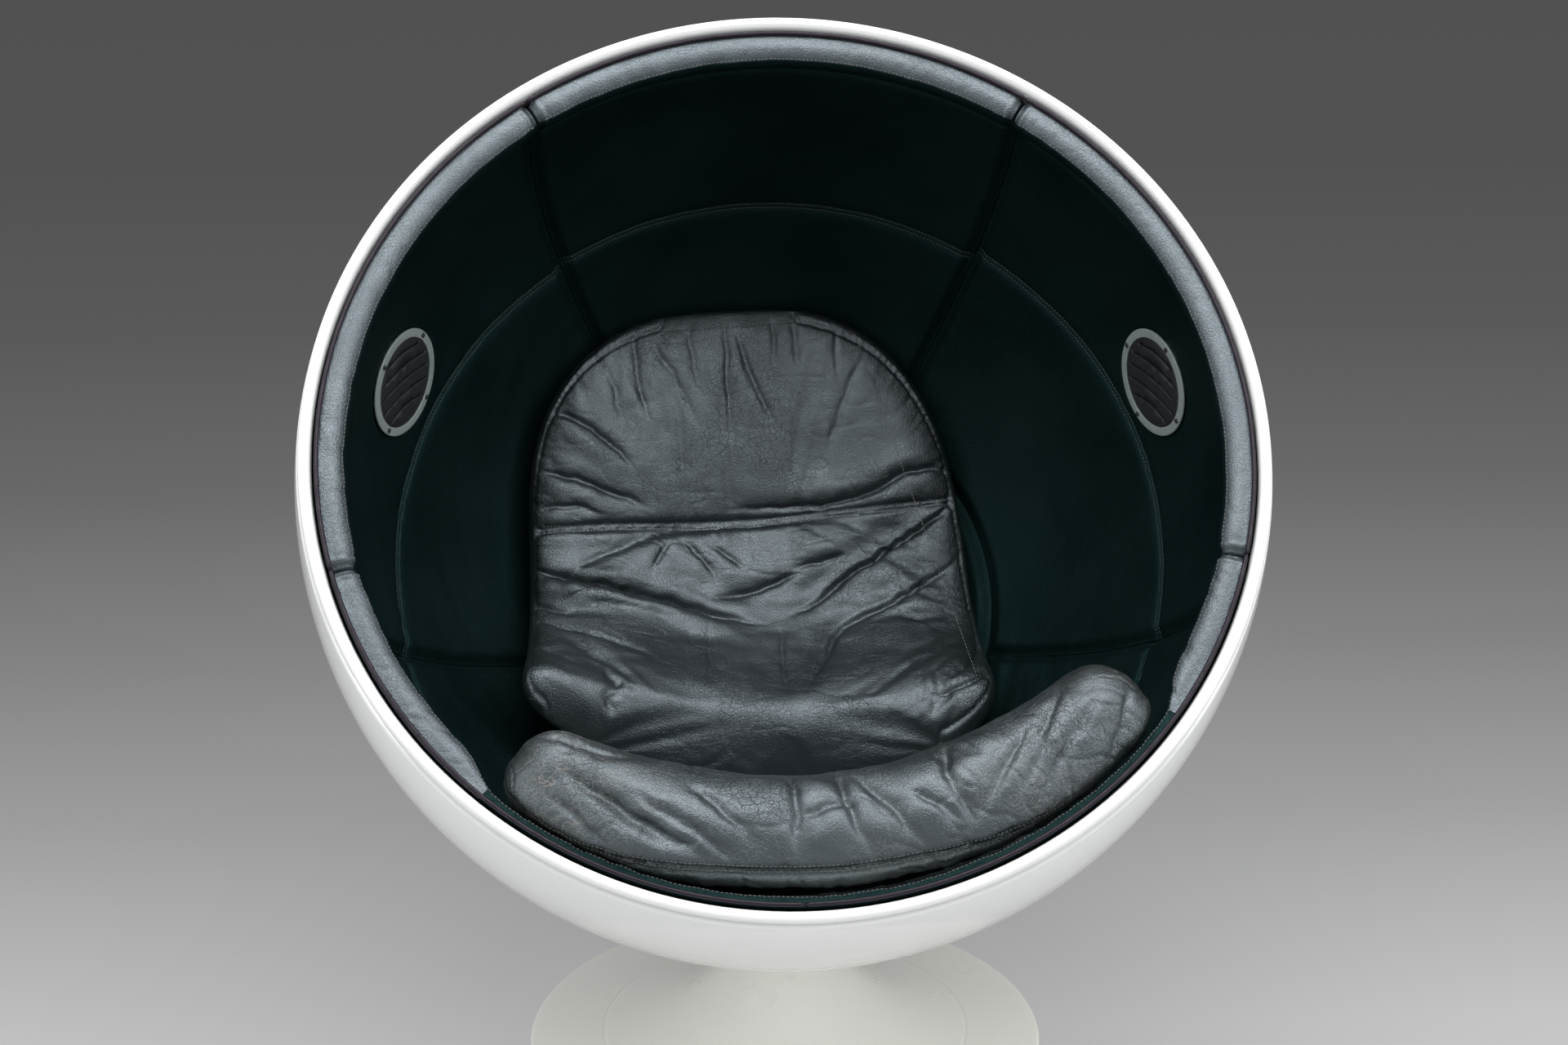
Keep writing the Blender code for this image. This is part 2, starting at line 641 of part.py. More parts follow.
def foot_profile():
    count = 9
    radii = [NECK_RADIUS + (FOOT_RADIUS - 0.004 - NECK_RADIUS) * (i / count) ** 1.5
             for i in range(count + 1)]
    outer = [(NECK_RADIUS, NECK_TOP - 0.002)] + [(r, flare(r)) for r in radii]
    edge = [(FOOT_RADIUS - 0.001, FOOT_EDGE_Z + 0.0022), (FOOT_RADIUS, FOOT_EDGE_Z),
            (FOOT_RADIUS - 0.002, PAD_THICKNESS + GAP), (PLATE_SEAT, PAD_THICKNESS + GAP)]
    under = [(r, flare(r) - FOOT_WALL) for r in reversed(radii[3:-1]) if r < PLATE_SEAT - 0.01]
    ledge = [(PLATE_SEAT, BALLAST_TOP + GAP)]
    web = [(NECK_RADIUS + 0.010, WEB_Z), (SPINDLE_HOLE, WEB_Z), (SPINDLE_HOLE, WEB_TOP),
           (NECK_RADIUS - NECK_WALL, WEB_TOP), (NECK_RADIUS - NECK_WALL, NECK_TOP),
           (NECK_RADIUS - 0.002, NECK_TOP)]
    return outer + edge + ledge + under + web


def hub_profile():
    """Flange that dishes to the ball, on a sleeve that turns round the spindle."""
    top = BALL_RADIUS + GAP
    dish = [(r, BALL_CENTRE_Z - math.sqrt(top ** 2 - r ** 2))
            for r in spread(HUB_HOLE - 0.0005, HUB_RADIUS, 3)]
    under = BALL_LIFT - HUB_THICKNESS
    bore = BUSH_RADIUS + GAP
    return [(bore, HUB_SEAT), (HUB_HOLE - 0.0005, HUB_SEAT)] + dish + [
        (HUB_RADIUS, under + 0.005), (HUB_RADIUS - 0.006, under), (SLEEVE_RADIUS + 0.003, under),
        (SLEEVE_RADIUS, under - 0.003), (SLEEVE_RADIUS, SLEEVE_Z), (bore, SLEEVE_Z)]


def plate_profile():
    """Clamp plate whose underside follows the inside of the ball."""
    radii = spread(HUB_HOLE, PLATE_RADIUS, 4)
    under = [(r, BALL_CENTRE_Z - math.sqrt(PANEL_BACK ** 2 - r ** 2)) for r in radii]
    return under + [(PLATE_RADIUS, PLATE_TOP - 0.001), (PLATE_RADIUS - 0.001, PLATE_TOP),
                    (HUB_HOLE, PLATE_TOP)]


def ring_profile(inside, outside, low, high, ease=0.0004):
    return [(inside, low), (outside - ease, low), (outside, low + ease), (outside, high - ease),
            (outside - ease, high), (inside, high)]


def hexagon_nut(inside, outside, low, high):
    """A hexagon nut, its bore round and its height along Z."""
    nut = turned([(inside, low), (outside, low), (outside, high), (inside, high)], 18)
    flat = outside * math.cos(math.pi / 6)
    for vert in nut.verts:
        radius = math.hypot(vert.co.x, vert.co.y)
        if radius > inside + 0.001:
            angle = math.atan2(vert.co.y, vert.co.x)
            near = (angle % (math.pi / 3)) - math.pi / 6
            scale = flat / math.cos(near) / radius
            vert.co.x *= scale
            vert.co.y *= scale
    return nut


def make_foot(paint, steel, rubber, iron):
    add_object("floor_pad", turned([(0, 0), (PLATE_SEAT - 0.002, 0), (PLATE_SEAT, 0.001),
                                    (PLATE_SEAT, PAD_THICKNESS), (0, PAD_THICKNESS)], closed=False),
               rubber, None)
    reach = PLATE_SEAT - GAP
    ballast = [(0, PAD_THICKNESS + GAP), (reach, PAD_THICKNESS + GAP), (reach, BALLAST_TOP - 0.001),
               (reach - 0.001, BALLAST_TOP), (0, BALLAST_TOP)]
    add_object("ballast_plate", turned(ballast, closed=False), iron, None)
    add_object("trumpet_foot", turned(foot_profile()), paint, None)
    tail = WEB_Z - GAP - WASHER_THICKNESS - GAP - NUT_THICKNESS - 0.003
    top = TOP_NUT_Z + NUT_THICKNESS + 0.003
    radius = SPINDLE_RADIUS
    spindle = [(0, tail), (radius - 0.001, tail), (radius, tail + 0.001), (radius, SHOULDER_Z),
               (radius + 0.008, SHOULDER_Z), (radius + 0.008, SHOULDER_Z + SHOULDER_THICKNESS),
               (radius, SHOULDER_Z + SHOULDER_THICKNESS), (radius, top - 0.001),
               (radius - 0.001, top), (0, top)]
    add_object("swivel_spindle", turned(spindle, SMALL_STEPS, closed=False), steel, None)
    washer_low = WEB_Z - GAP - WASHER_THICKNESS
    nut_low = washer_low - GAP - NUT_THICKNESS
    washer = ring_profile(SPINDLE_HOLE, WASHER_RADIUS, washer_low, WEB_Z - GAP)
    add_object("spindle_lower_washer", turned(washer, SMALL_STEPS), steel, None)
    add_object("spindle_lower_nut", hexagon_nut(SPINDLE_HOLE, NUT_RADIUS, nut_low, washer_low - GAP),
               steel, None)
    top_washer = ring_profile(SPINDLE_HOLE, WASHER_RADIUS, TOP_WASHER_Z, TOP_WASHER_Z + WASHER_THICKNESS)
    add_object("spindle_top_washer", turned(top_washer, SMALL_STEPS), steel, None)
    add_object("spindle_top_nut", hexagon_nut(SPINDLE_HOLE, NUT_RADIUS, TOP_NUT_Z,
                                              TOP_NUT_Z + NUT_THICKNESS), steel, None)
    bearing = ring_profile(SPINDLE_HOLE, SLEEVE_RADIUS - 0.0005, BEARING_Z, BEARING_Z + BEARING_THICKNESS)
    add_object("thrust_bearing", turned(bearing, SMALL_STEPS), steel, None)


def make_swivel(paint, steel, plastic, swivel):
    bolt_low = BALL_LIFT - 0.0065
    hub = add_object("swivel_hub", turned(hub_profile(), HUB_STEPS), paint, swivel)
    plate = add_object("mounting_plate", turned(plate_profile(), HUB_STEPS), steel, swivel)
    holes = ring_of_bars(BOLT_CIRCLE, BOLT_COUNT, math.pi / 4, BOLT_RADIUS + HOLE_EASE,
                         bolt_low - GAP, PLATE_TOP + 0.01, 8)
    holes = as_cutter(add_object("bolt_holes", holes, None, swivel))
    cut(hub, holes)
    cut(plate, holes)
    bush = ring_profile(SPINDLE_HOLE, BUSH_RADIUS, SLEEVE_Z, HUB_SEAT - GAP, 0.0003)
    add_object("swivel_bush", turned(bush, HUB_STEPS), plastic, swivel)
    head = PLATE_TOP + GAP
    bolt = [(0, bolt_low), (BOLT_RADIUS, bolt_low), (BOLT_RADIUS, head), (BOLT_HEAD_RADIUS, head),
            (BOLT_HEAD_RADIUS, head + BOLT_HEAD_HEIGHT * 0.5),
            (BOLT_HEAD_RADIUS * 0.6, head + BOLT_HEAD_HEIGHT), (0, head + BOLT_HEAD_HEIGHT)]
    for i in range(BOLT_COUNT):
        angle = math.pi / 4 + math.tau * i / BOLT_COUNT
        place = (BOLT_CIRCLE * math.cos(angle), BOLT_CIRCLE * math.sin(angle), 0)
        add_object(f"mounting_bolt_{i + 1}", turned(bolt, 8, closed=False), steel, swivel, place)


# Speakers
def speaker_axis(side, opening):
    """An empty on the speaker's seat, its Z pointing at the ball's centre, its Y at the mouth."""
    outward = polar(*SPEAKER_PLACES[side], 1.0)
    turn = (-outward).to_track_quat("Z", "Y").to_euler()
    return empty(f"{side}_speaker_axis", opening, outward * SPEAKER_SEAT, turn)


def slot_cutter(offset, mirror):
    """One curved slot of the grille, as a bent bar through its thickness."""
    reach = math.sqrt((SPEAKER_WELL - 0.006) ** 2 - offset ** 2)
    steps = 4
    rings = []
    for i in range(steps + 1):
        share = 2 * i / steps - 1
        along = reach * share
        across = offset + SLOT_BOW * (1 - share ** 2)
        ring = []
        for wide, high in ((-1, -1), (1, -1), (1, 1), (-1, 1)):
            x = along
            y = across + wide * SLOT_WIDTH / 2
            c, s = math.cos(SLOT_TURN * mirror), math.sin(SLOT_TURN * mirror)
            ring.append((x * c - y * s, x * s + y * c, high * 0.01))
        rings.append(ring)
    return lofted(rings)


def make_speaker(side, axis, ring_finish, grille_finish, cone_finish, steel):
    flange_top = SPEAKER_FLANGE
    ring_low = flange_top + GAP
    ring_high = ring_low + SPEAKER_RING_THICKNESS
    well = SPEAKER_WELL
    ring = [(well, ring_low), (SPEAKER_RADIUS - 0.0005, ring_low), (SPEAKER_RADIUS, ring_low + 0.0005),
            (SPEAKER_RADIUS, ring_high - 0.001), (SPEAKER_RADIUS - 0.001, ring_high),
            (well + 0.0008, ring_high), (well, ring_high - 0.0008)]
    ring = add_object(f"{side}_speaker_ring", turned(ring, SPEAKER_STEPS), ring_finish, axis)
    wall = well - 0.004
    floor = -SPEAKER_DEPTH
    basket = [(SPEAKER_RADIUS - 0.001, 0.0), (SPEAKER_RADIUS - 0.001, flange_top), (wall, flange_top),
              (wall, -0.005), (0.035, floor + 0.0012), (0.011, floor + 0.0012), (0.011, floor),
              (0.036, floor), (wall + 0.002, -0.005), (wall + 0.002, 0.0)]
    basket = add_object(f"{side}_speaker_basket", turned(basket, SPEAKER_STEPS), steel, axis)
    holes = ring_of_bars(SCREW_CIRCLE, SPEAKER_SCREWS, SCREW_TURN, SCREW_RADIUS + HOLE_EASE,
                         -0.001, ring_high + 0.001, 6)
    holes = as_cutter(add_object(f"{side}_speaker_ring_holes", holes, None, axis))
    cut(ring, holes)
    cut(basket, holes)
    top = floor - GAP
    low = top - SPEAKER_MAGNET_DEPTH
    magnet = [(0, low), (SPEAKER_MAGNET_RADIUS - 0.001, low), (SPEAKER_MAGNET_RADIUS, low + 0.001),
              (SPEAKER_MAGNET_RADIUS, top), (0, top)]
    add_object(f"{side}_speaker_magnet", turned(magnet, SMALL_STEPS, closed=False), steel, axis)
    cone_edge = wall - GAP
    cone = [(0, -0.0135), (0.006, -0.0140), (0.012, -0.0160), (0.016, -0.0155), (0.043, -0.0020),
            (0.046, -0.0004), (cone_edge, -0.0012), (cone_edge, -0.0022), (0.046, -0.0016),
            (0.0425, -0.0033), (0.016, -0.0168), (0, -0.0168)]
    add_object(f"{side}_speaker_cone", turned(cone, SPEAKER_STEPS, closed=False), cone_finish, axis)
    grille_low = flange_top + GAP
    grille_high = grille_low + SPEAKER_RING_THICKNESS - 0.001
    grille = cylinder(well - GAP, grille_low, grille_high, SPEAKER_STEPS)
    grille = add_object(f"{side}_speaker_grille", grille, grille_finish, axis)
    mirror = 1 if side == "right" else -1
    slots = joined([slot_cutter((i - (SLOT_COUNT - 1) / 2) * SLOT_PITCH, mirror)
                    for i in range(SLOT_COUNT)])
    cut(grille, as_cutter(add_object(f"{side}_grille_slots", slots, None, axis)))
    head = ring_high + GAP
    screw = [(0, -SCREW_LENGTH), (SCREW_RADIUS, -SCREW_LENGTH + 0.001), (SCREW_RADIUS, head),
             (SCREW_HEAD_RADIUS, head), (SCREW_HEAD_RADIUS * 0.7, head + 0.0014), (0, head + 0.0018)]
    for i in range(SPEAKER_SCREWS):
        angle = SCREW_TURN + math.tau * i / SPEAKER_SCREWS
        place = (SCREW_CIRCLE * math.cos(angle), SCREW_CIRCLE * math.sin(angle), 0)
        add_object(f"{side}_speaker_screw_{i + 1}", turned(screw, 8, closed=False), steel, axis, place)


def main():
    clear_scene()
    white = material("white_gelcoat", (0.86, 0.87, 0.88), 0.12)
    cream = material("cream_paint", (0.78, 0.78, 0.72), 0.30)
    leather = material("black_leather", (0.012, 0.018, 0.022), 0.42)
    piping = material("black_piping", (0.010, 0.010, 0.014), 0.35)
    steel = material("zinc_steel", (0.55, 0.56, 0.58), 0.35, 1.0)
    iron = material("grey_iron", (0.12, 0.12, 0.12), 0.60, 0.8)
    rubber = material("black_rubber", (0.02, 0.02, 0.02), 0.80)
    plastic = material("white_nylon", (0.80, 0.80, 0.78), 0.45)
    ring_grey = material("speaker_grey", (0.36, 0.40, 0.41), 0.38, 0.3)
    grille_black = material("speaker_black", (0.025, 0.026, 0.028), 0.55)
    cone_black = material("cone_paper", (0.02, 0.02, 0.02), 0.85)

    swivel = empty("swivel_axis")
    upright = empty("ball_centre", swivel, (0, 0, BALL_CENTRE_Z))
    opening = empty("opening_frame", swivel, (0, 0, BALL_CENTRE_Z), (math.pi / 2 - OPENING_TILT, 0, 0))
    speakers = {side: speaker_axis(side, opening) for side in ("left", "right")}

    make_foot(cream, steel, rubber, iron)
    make_swivel(cream, steel, plastic, swivel)
    make_shell(white, opening, swivel)
    make_lining(leather, opening, swivel, speakers)
    make_rim(leather, piping, opening)
    make_cushions(leather, opening, upright)
    for side, axis in speakers.items():
        make_speaker(side, axis, ring_grey, grille_black, cone_black, steel)


main()
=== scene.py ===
import json
from itertools import product
from math import acos, asin, atan2, cos, pi, radians, sin, sqrt, tan, tau

import bmesh
import bpy
import numpy as np
from mathutils import Matrix, Vector
from mathutils.bvhtree import BVHTree


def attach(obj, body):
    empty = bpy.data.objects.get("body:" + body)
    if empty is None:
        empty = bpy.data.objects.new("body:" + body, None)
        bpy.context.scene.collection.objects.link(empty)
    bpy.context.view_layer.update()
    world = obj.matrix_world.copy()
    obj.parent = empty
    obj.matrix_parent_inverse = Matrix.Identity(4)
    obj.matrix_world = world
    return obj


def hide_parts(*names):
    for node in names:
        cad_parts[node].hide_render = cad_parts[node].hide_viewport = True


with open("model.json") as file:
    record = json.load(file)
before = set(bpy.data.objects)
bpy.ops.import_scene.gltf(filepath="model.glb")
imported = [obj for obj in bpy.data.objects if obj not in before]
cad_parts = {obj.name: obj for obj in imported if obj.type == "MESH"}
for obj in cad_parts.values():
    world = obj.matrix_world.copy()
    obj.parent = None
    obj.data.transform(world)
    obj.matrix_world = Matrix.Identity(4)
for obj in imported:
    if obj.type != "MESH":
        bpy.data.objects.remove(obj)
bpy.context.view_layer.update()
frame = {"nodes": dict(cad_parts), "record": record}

# Looks for a ball chair: a white shell lined in dark leather, on a trumpet foot.
# Lengths are in metres. Polar places about the ball's centre are theta, the angle from the
# mouth's axis, and phi, the angle round it from +X towards the top of the rim.

# Ball, lip and lining, as in the solids
CENTRE = Vector((0, 0, 0.675))
BALL_RADIUS = 0.525
INNER_RADIUS = BALL_RADIUS - 0.006
LIP_RADIUS = 0.0075
LIP_PLANE = 0.141
LIP_RHO = sqrt((BALL_RADIUS - LIP_RADIUS) ** 2 - LIP_PLANE ** 2)
LIP_INSIDE = LIP_RHO - LIP_RADIUS - 0.0014
RIM_FRONT = LIP_PLANE - 0.0025
LINING_RADIUS = 0.487
LINING_DROP = 0.009
LINING_EDGE = radians(2.2)
PANEL_START = acos((RIM_FRONT - 0.059) / LINING_RADIUS)
PANEL_END = radians(145.0)
PANEL_BACK = 0.5154
PANEL_JOIN = 0.0008 / LINING_RADIUS
SEAM_LOW_LEFT = radians(196.5)
SEAM_LOW_RIGHT = radians(343.5)
SPANS = {
    "back": (radians(55.5), radians(124.5)),
    "left": (radians(124.5), SEAM_LOW_LEFT),
    "bottom": (SEAM_LOW_LEFT, SEAM_LOW_RIGHT),
    "right": (SEAM_LOW_RIGHT - tau, radians(55.5)),
}
TWIN_SEAM = {"back": radians(113.0), "left": radians(114.0), "bottom": radians(112.6), "right": radians(111.3)}
UPRIGHT = Matrix.Translation(CENTRE)
OPENING = UPRIGHT @ Matrix.Rotation(pi / 2 - radians(35.5), 4, "X")

# Padded rim
ROLL_WIDTH = 0.041
ROLL_SQUEEZE = 0.0295
ROLL_END_GAP = 0.0018 / LIP_INSIDE
RIM_COLUMNS = (16, 30)
RIM_SIDE_COLUMN = RIM_COLUMNS[0] + 6
RIM_SEAM_TURN = radians(60)
WELT_RADIUS = 0.0024

# Back cushion
BOWL = 0.484
CUSHION_TOP = radians(14.8)
CUSHION_FOOT = radians(-77.5)
CUSHION_MIDDLE = (CUSHION_TOP + CUSHION_FOOT) / 2
CUSHION_REACH = 0.988
CUSHION_WIDTH = 0.572
CUSHION_SHIFT = -0.018
CUSHION_LEAN = -0.030
CUSHION_TAPER = 0.06
CUSHION_CROWN = 0.084
CUSHION_BACK = 0.0225
CUSHION_FORWARD = 0.056
CUSHION_MEAN = 0.385

# Seat
FRONT_ROLL_HEIGHT = 0.065
FRONT_ROLL_THICK = 0.072
FRONT_ROLL_THIN = 0.0105
FRONT_ROLL_RISE = 0.010
FRONT_ROLL_HALF = radians(39.3)
FRONT_ROLL_TURN = radians(5.8)
FRONT_ROLL_OUT = RIM_FRONT - 0.0505
FRONT_ROLL_CAP = 0.056
FRONT_ROLL_ARC = LIP_INSIDE - ROLL_WIDTH + ROLL_SQUEEZE - FRONT_ROLL_HEIGHT - 0.0037
ROLL_END_RHO = FRONT_ROLL_ARC + 0.0145
ROLL_LIFT = (ROLL_END_RHO ** 2 - FRONT_ROLL_ARC ** 2) / (2 * (FRONT_ROLL_ARC - ROLL_END_RHO * cos(FRONT_ROLL_HALF)))
ROLL_BEND = FRONT_ROLL_ARC + ROLL_LIFT
ROLL_SWEEP = asin(ROLL_END_RHO * sin(FRONT_ROLL_HALF) / ROLL_BEND)
ROLL_GIRTH = 0.066
SEAT_MIDDLE_Y = -0.010
SEAT_WIDTH = 0.560
SEAT_LENGTH = 0.610
SEAT_EDGE = 0.012
SEAT_THICKNESS = 0.042

# Foot
FOOT_RADIUS = 0.299
FOOT_EDGE_Z = 0.012
FOOT_WALL = 0.004
FOOT_LINE_RADIUS = 0.213
NECK_RADIUS = 0.047
NECK_TOP = CENTRE.z - BALL_RADIUS - 0.0115
PAD_TOP = 0.0033

# Speakers
SPEAKER_PLACES = {"left": (radians(103.3), radians(157.6)), "right": (radians(101.2), radians(19.6))}
SPEAKER_RADIUS = 0.065
SPEAKER_SEAT = sqrt(LINING_RADIUS ** 2 - SPEAKER_RADIUS ** 2) + 0.0010
SPEAKER_WELL = 0.0545
RING_LOW = 0.0017
RING_HIGH = 0.0042
SCREW_CIRCLE = 0.05975
SCREW_TURN = radians(12.0)
SLOT_PITCH = 0.0175
SLOT_WIDTH = 0.0018
SLOT_BOW = 0.005
SLOT_TURN = radians(32.0)

# Stitched seams: depth and width of the valley, depth and width of its two rows of holes, how far
# they lie to either side, and height and width of the join between
LINING_SEAM = (0.0022, 0.0085, 0.0014, 0.0012, 0.0031, 0.0031, 0.0008, 0.0016)
CUSHION_SEAM = (0.0060, 0.0075, 0.0018, 0.0014, 0.0034, 0.0034, 0.0026, 0.0022)
ROLL_SEAM = (0.0042, 0.0060, 0.0018, 0.0013, 0.0036, 0.0030, 0.0016, 0.0020)
STITCH_PITCH = 0.0046
STITCH_LENGTH = 0.0037
STITCH_RADIUS = 0.00052
STITCH_STATIONS = ((-0.5, 0.25, -0.5), (-0.34, 1.0, 0.35), (0.34, 1.0, 0.35), (0.5, 0.25, -0.5))


# Numbers
def smooth_step(value):
    value = np.clip(value, 0.0, 1.0)
    return value * value * (3 - 2 * value)


def groove(distance, width):
    return np.exp(-(distance / width) ** 2)


def full_turn(count):
    """Even angles round a circle."""
    return np.arange(count) * tau / count


def lengths_along(path):
    """How far each point of a path lies from its start, along it."""
    return np.concatenate([[0], np.cumsum(np.linalg.norm(np.diff(path, axis=0), axis=1))])


def lattice(x, y, z, seed):
    """A repeatable value from -1 to 1 for each whole-number place."""
    mixed = (x * 73856093) ^ (y * 19349663) ^ (z * 83492791) ^ (seed * 40503 + 977)
    mixed = (mixed ^ (mixed >> 13)) * 1274126177
    return ((mixed ^ (mixed >> 16)) & 0xFFFF) / 32767.5 - 1


def soft_noise(points, size, seed):
    """Smooth noise from -1 to 1 at many points, its bumps about size across."""
    place = np.asarray(points) / size
    low = np.floor(place).astype(np.int64)
    part = smooth_step(place - low)
    total = np.zeros(len(place))
    for corner in product((0, 1), repeat=3):
        weight = np.ones(len(place))
        for axis in range(3):
            weight *= part[:, axis] if corner[axis] else 1 - part[:, axis]
        total += weight * lattice(*(low[:, axis] + corner[axis] for axis in range(3)), seed)
    return total


def flat_noise(along, across, size, seed):
    """Soft noise over an unrolled surface."""
    along, across = np.broadcast_arrays(np.ravel(along), np.ravel(across))
    return soft_noise(np.stack([along, across, np.zeros(len(along))], axis=1), size, seed)


def fine_folds(along, across, size, seed, width):
    """1 in the narrow valleys of folded noise, 0 on the broad ground between."""
    return 1 - smooth_step(np.abs(flat_noise(along, across, size, seed)) / width)


def seam_puckers(along, away, reach, seed):
    """Short gathers that run square to a seam and die out away from it."""
    fine = np.abs(flat_noise(along, away * 0.14, 0.0065, seed)) ** 0.7
    broad = np.abs(flat_noise(along, away * 0.25, 0.021, seed + 5))
    return (0.0007 * (fine - 0.5) + 0.0011 * (broad - 0.4)) * np.exp(-away / reach)


def seam_relief(off, seam):
    """Height across a stitched seam, at signed distances from it."""
    depth, width, hole, hole_width, before, after, join, join_width = seam
    holes = groove(off + before, hole_width) + groove(off - after, hole_width)
    return join * groove(off, join_width) - depth * groove(off, width) - hole * holes


def in_frame(points, place):
    """Points of a local frame, as an array, moved to the object's frame."""
    matrix = np.array(place)
    return np.asarray(points) @ matrix[:3, :3].T + matrix[:3, 3]


def polar(theta, phi, radius):
    """Points in the opening frame from polar places about the ball's centre."""
    side = np.sin(theta)
    return np.stack(np.broadcast_arrays(radius * side * np.cos(phi), radius * side * np.sin(phi),
                                        radius * np.cos(theta)), axis=-1)


def swung(section, phi):
    """Points (distance from the mouth's axis, height along it) of a section set at phi round it."""
    out, up = np.moveaxis(np.asarray(section), -1, 0)
    return np.stack([out * cos(phi), out * sin(phi), up], axis=-1)


def uneven_steps(low, high, coarse, fine_spots):
    """Places from low to high in coarse steps, with finer ones near (place, reach, step) spots."""
    places = [low]
    while places[-1] < high:
        step = min([coarse] + [fine for place, reach, fine in fine_spots
                               if abs(places[-1] + coarse / 2 - place) < reach])
        places.append(places[-1] + step)
    places = np.array(places)
    return low + (places - low) * (high - low) / (places[-1] - low)


# Outlines
def arc(radius, start, end, count, middle=(0.0, 0.0)):
    """Outline points on an arc, by angles from the +Z axis."""
    angles = [start + (end - start) * i / count for i in range(count + 1)]
    return [(middle[0] + radius * sin(a), middle[1] + radius * cos(a)) for a in angles]


def rounded(corners, radii, steps):
    """A closed outline whose corners are arcs tangent to both sides."""
    points = []
    for i, corner in enumerate(corners):
        here = Vector(corner)
        before, after = ((Vector(corners[(i + k) % len(corners)]) - here).normalized() for k in (-1, 1))
        half = before.angle(after) / 2
        middle = here + (before + after).normalized() * radii[i] / sin(half)
        start, end = (here + side * radii[i] / tan(half) - middle for side in (before, after))
        sweep = atan2(start.x * end.y - start.y * end.x, start.dot(end))
        for turn in (sweep * j / steps[i] for j in range(steps[i] + 1)):
            points.append((middle.x + start.x * cos(turn) - start.y * sin(turn),
                           middle.y + start.x * sin(turn) + start.y * cos(turn)))
    return points


def resampled(outline, spot, before, after, reach=0.0045, fine=13):
    """A closed outline as a fixed count of points, close together about the one nearest spot."""
    ring = np.array(outline + outline[:1])
    along = lengths_along(ring)
    middle = along[np.argmin(np.linalg.norm(ring - spot, axis=1))]
    stops = (0, middle - reach, middle + reach, along[-1])
    places = np.concatenate([np.linspace(low, high, count, endpoint=False)
                             for low, high, count in zip(stops, stops[1:], (before, fine, after))])
    return np.stack([np.interp(places, along, ring[:, k]) for k in range(2)], axis=1)


def outward_normals(outline):
    """Unit normals of a closed outline, away from its middle."""
    tangent = np.roll(outline, -1, axis=0) - np.roll(outline, 1, axis=0)
    normal = np.stack([-tangent[:, 1], tangent[:, 0]], axis=1)
    normal /= np.maximum(np.linalg.norm(normal, axis=1), 1e-9)[:, None]
    return normal * np.sign(np.sum((outline - outline.mean(axis=0)) * normal))


def polyline(points, count):
    """A smooth dense path through a few given points."""
    points = np.array(points, float)
    ends = np.concatenate([[2 * points[0] - points[1]], points, [2 * points[-1] - points[-2]]])
    dense = []
    for a, b, c, d in zip(ends, ends[1:], ends[2:], ends[3:]):
        for t in np.linspace(0, 1, max(2, count // (len(points) - 1)), endpoint=False):
            dense.append(0.5 * (2 * b + (c - a) * t + (2 * a - 5 * b + 4 * c - d) * t ** 2
                                + (3 * b - a - 3 * c + d) * t ** 3))
    return np.array(dense + [points[-1]])


def path_distance(places, path, block=20000):
    """Distance from each place to a dense path, and the same with a minus below the path."""
    away = np.zeros(len(places))
    side = np.zeros(len(places))
    for part in (slice(start, start + block) for start in range(0, len(places), block)):
        gap = np.linalg.norm(places[part, None, :] - path[None, :, :], axis=2)
        away[part] = gap.min(axis=1)
        side[part] = np.sign(places[part, 1] - path[gap.argmin(axis=1), 1])
    return away, away * side


# Meshes
def linked(name, data):
    made = bpy.data.objects.new(name, data)
    bpy.context.collection.objects.link(made)
    return made


def settle(piece, body, node=None):
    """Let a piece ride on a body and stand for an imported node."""
    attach(piece, body)
    if node:
        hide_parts(node)


def add_piece(name, shape, finish=None, place=None, body="ball", node=None):
    """A smooth mesh object from points and faces in the frame of a place."""
    points, faces = shape
    if place is not None:
        points = in_frame(points, place)
    data = bpy.data.meshes.new(name)
    data.from_pydata([tuple(p) for p in points], [], faces)
    data.validate()
    made = linked(name, data)
    even = bmesh.new()
    even.from_mesh(data)
    bmesh.ops.recalc_face_normals(even, faces=even.faces[:])
    even.to_mesh(data)
    even.free()
    data.shade_smooth()
    if finish:
        data.materials.append(finish)
    if body:
        settle(made, body, node)
    return made


def grid_faces(rows, columns, start=0, wrap=False):
    """Quads over rows of points, closed across the columns if wrap is set."""
    faces = []
    for i, j in product(range(rows - 1), range(columns if wrap else columns - 1)):
        a = start + i * columns
        k = (j + 1) % columns
        faces.append((a + j, a + k, a + columns + k, a + columns + j))
    return faces


def loft(rings):
    """Points and faces of a tube over rings of equal count, with flat ends."""
    rings = np.array(rings)
    rows, columns = rings.shape[:2]
    faces = grid_faces(rows, columns, wrap=True)
    faces.append(tuple(range(columns)))
    faces.append(tuple(range((rows - 1) * columns, rows * columns))[::-1])
    return rings.reshape(-1, 3), faces


def padded_sheet(front, back):
    """Points and faces of a closed slab between two grids of one size."""
    rows, columns = front.shape[:2]
    count = rows * columns
    faces = grid_faces(rows, columns) + [f[::-1] for f in grid_faces(rows, columns, count)]
    border = [(0, j) for j in range(columns)] + [(i, columns - 1) for i in range(1, rows)]
    border += [(rows - 1, j) for j in range(columns - 2, -1, -1)] + [(i, 0) for i in range(rows - 2, 0, -1)]
    ids = [i * columns + j for i, j in border]
    faces += [(a, b, b + count, a + count) for a, b in zip(ids, ids[1:] + ids[:1])]
    return np.concatenate([front.reshape(-1, 3), back.reshape(-1, 3)]), faces


